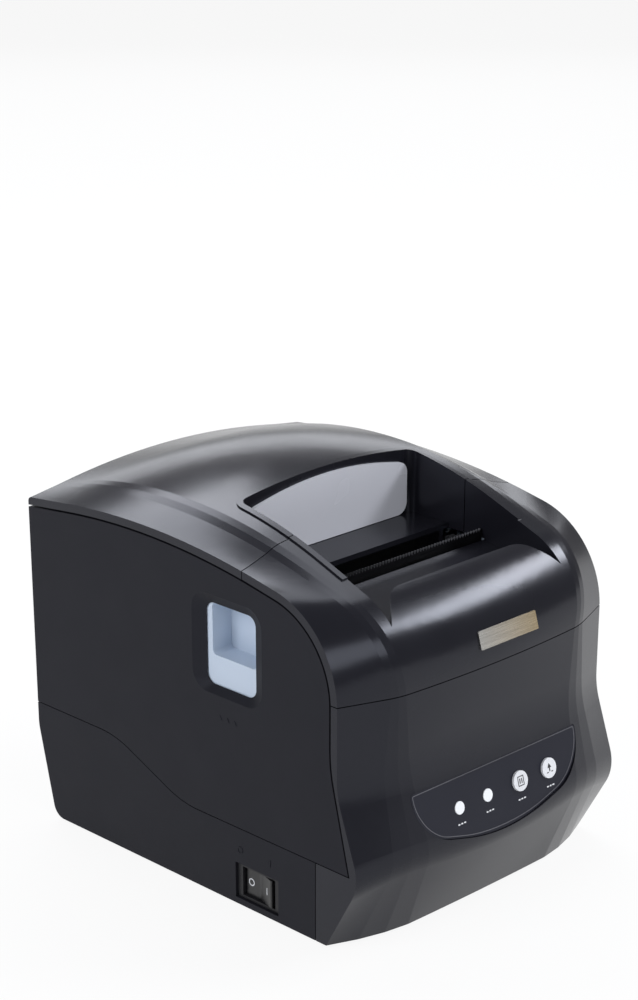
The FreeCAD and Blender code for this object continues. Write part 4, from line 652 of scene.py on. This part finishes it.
# %% [markdown]
# Low raised marks are moulded into the side walls: a row of small arrowheads under each finger
# latch, and the ring and bar of the switch above the rocker.

# %% Marks moulded in the sides
LEFT, RIGHT = -1, 1
WALL_X = 74.0
LATCH_MARK = (-19.0, 76.3)
LATCH_MARK_STEP = 4.0
OFF_MARK, ON_MARK = (-25.0, 24.4), (-41.5, 24.4)
MARK_HIGH = 0.15


def on_side(side, y, z):
    return surface((side * WALL_X, y, z), (0, side, 0), (0, 0, 1))


for side, name in ((LEFT, "left"), (RIGHT, "right")):
    latch_mark = bmesh.new()
    for step in (-LATCH_MARK_STEP, 0, LATCH_MARK_STEP):
        add_arrow(latch_mark, (step, 0), 1.2, MARK_HIGH)
    settle(latch_mark, "latch_mark_" + name, on_side(side, *LATCH_MARK), matt_black,
           "case_body")
ring_mark = bmesh.new()
add_ring(ring_mark, radius=1.3, width=0.4, height=MARK_HIGH)
settle(ring_mark, "switch_off_mark", on_side(LEFT, *OFF_MARK), matt_black,
       "case_body")
bar_mark = bmesh.new()
add_bar(bar_mark, (0, 0), (0.45, 2.9), MARK_HIGH, corner=0.15)
settle(bar_mark, "switch_on_mark", on_side(LEFT, *ON_MARK), matt_black,
       "case_body")

# %% [markdown]
# Four screws hold the bottom case from below. Each is a pan head in its own well. The head is spun
# from half a section. For the driver's cross, the faces of the crown that lie along two crossing
# bars are pushed in.

# %% Screws in the underside
SCREW_SPOTS = [(x, y) for x in (-64.0, 64.0) for y in (20.5, 52.5)]
WELL_TOP = 4.5
HEAD_SECTION = ((0, 1.6), (0.35, 1.6), (1.25, 1.5), (1.9, 1.2), (2.3, 0.7), (2.4, 0), (0, 0))
HEAD_STEPS = 36
HEAD_WELD = 1e-5
CROWN_Z = 1.4
CROSS_HALF, CROSS_EYE, CROSS_DEEP = 0.2, 0.3, 0.9


def in_cross(face):
    middle = face.calc_center_median()
    along_bar = min(abs(middle.x), abs(middle.y)) < CROSS_HALF
    return middle.z > CROWN_Z and (along_bar or middle.xy.length < CROSS_EYE)


head = bmesh.new()
points = [head.verts.new((r, 0, z)) for r, z in HEAD_SECTION]
edges = [head.edges.new(pair) for pair in zip(points, points[1:])]
bmesh.ops.spin(head, geom=points + edges, cent=(0, 0, 0), axis=(0, 0, 1), angle=math.tau,
               steps=HEAD_STEPS, use_merge=True)
bmesh.ops.remove_doubles(head, verts=head.verts, dist=HEAD_WELD)
bmesh.ops.recalc_face_normals(head, faces=head.faces)
cross = [f for f in head.faces if in_cross(f)]
push(head, cross, -CROSS_DEEP)
bmesh.ops.delete(head, geom=cross, context="FACES_ONLY")
head_mesh = bpy.data.meshes.new("screw_head")
head.to_mesh(head_mesh)
head.free()

case_screws = bmesh.new()
head_down = Matrix.Rotation(math.pi, 4, "X")
for x, y in SCREW_SPOTS:
    before = len(case_screws.verts)
    case_screws.from_mesh(head_mesh)
    bmesh.ops.transform(case_screws, matrix=Matrix.Translation((x, y, WELL_TOP)) @ head_down,
                        verts=case_screws.verts[before:])
bpy.data.meshes.remove(head_mesh)
settle(case_screws, "case_screws", Matrix.Scale(MM, 4), zinc_steel, "case_body")
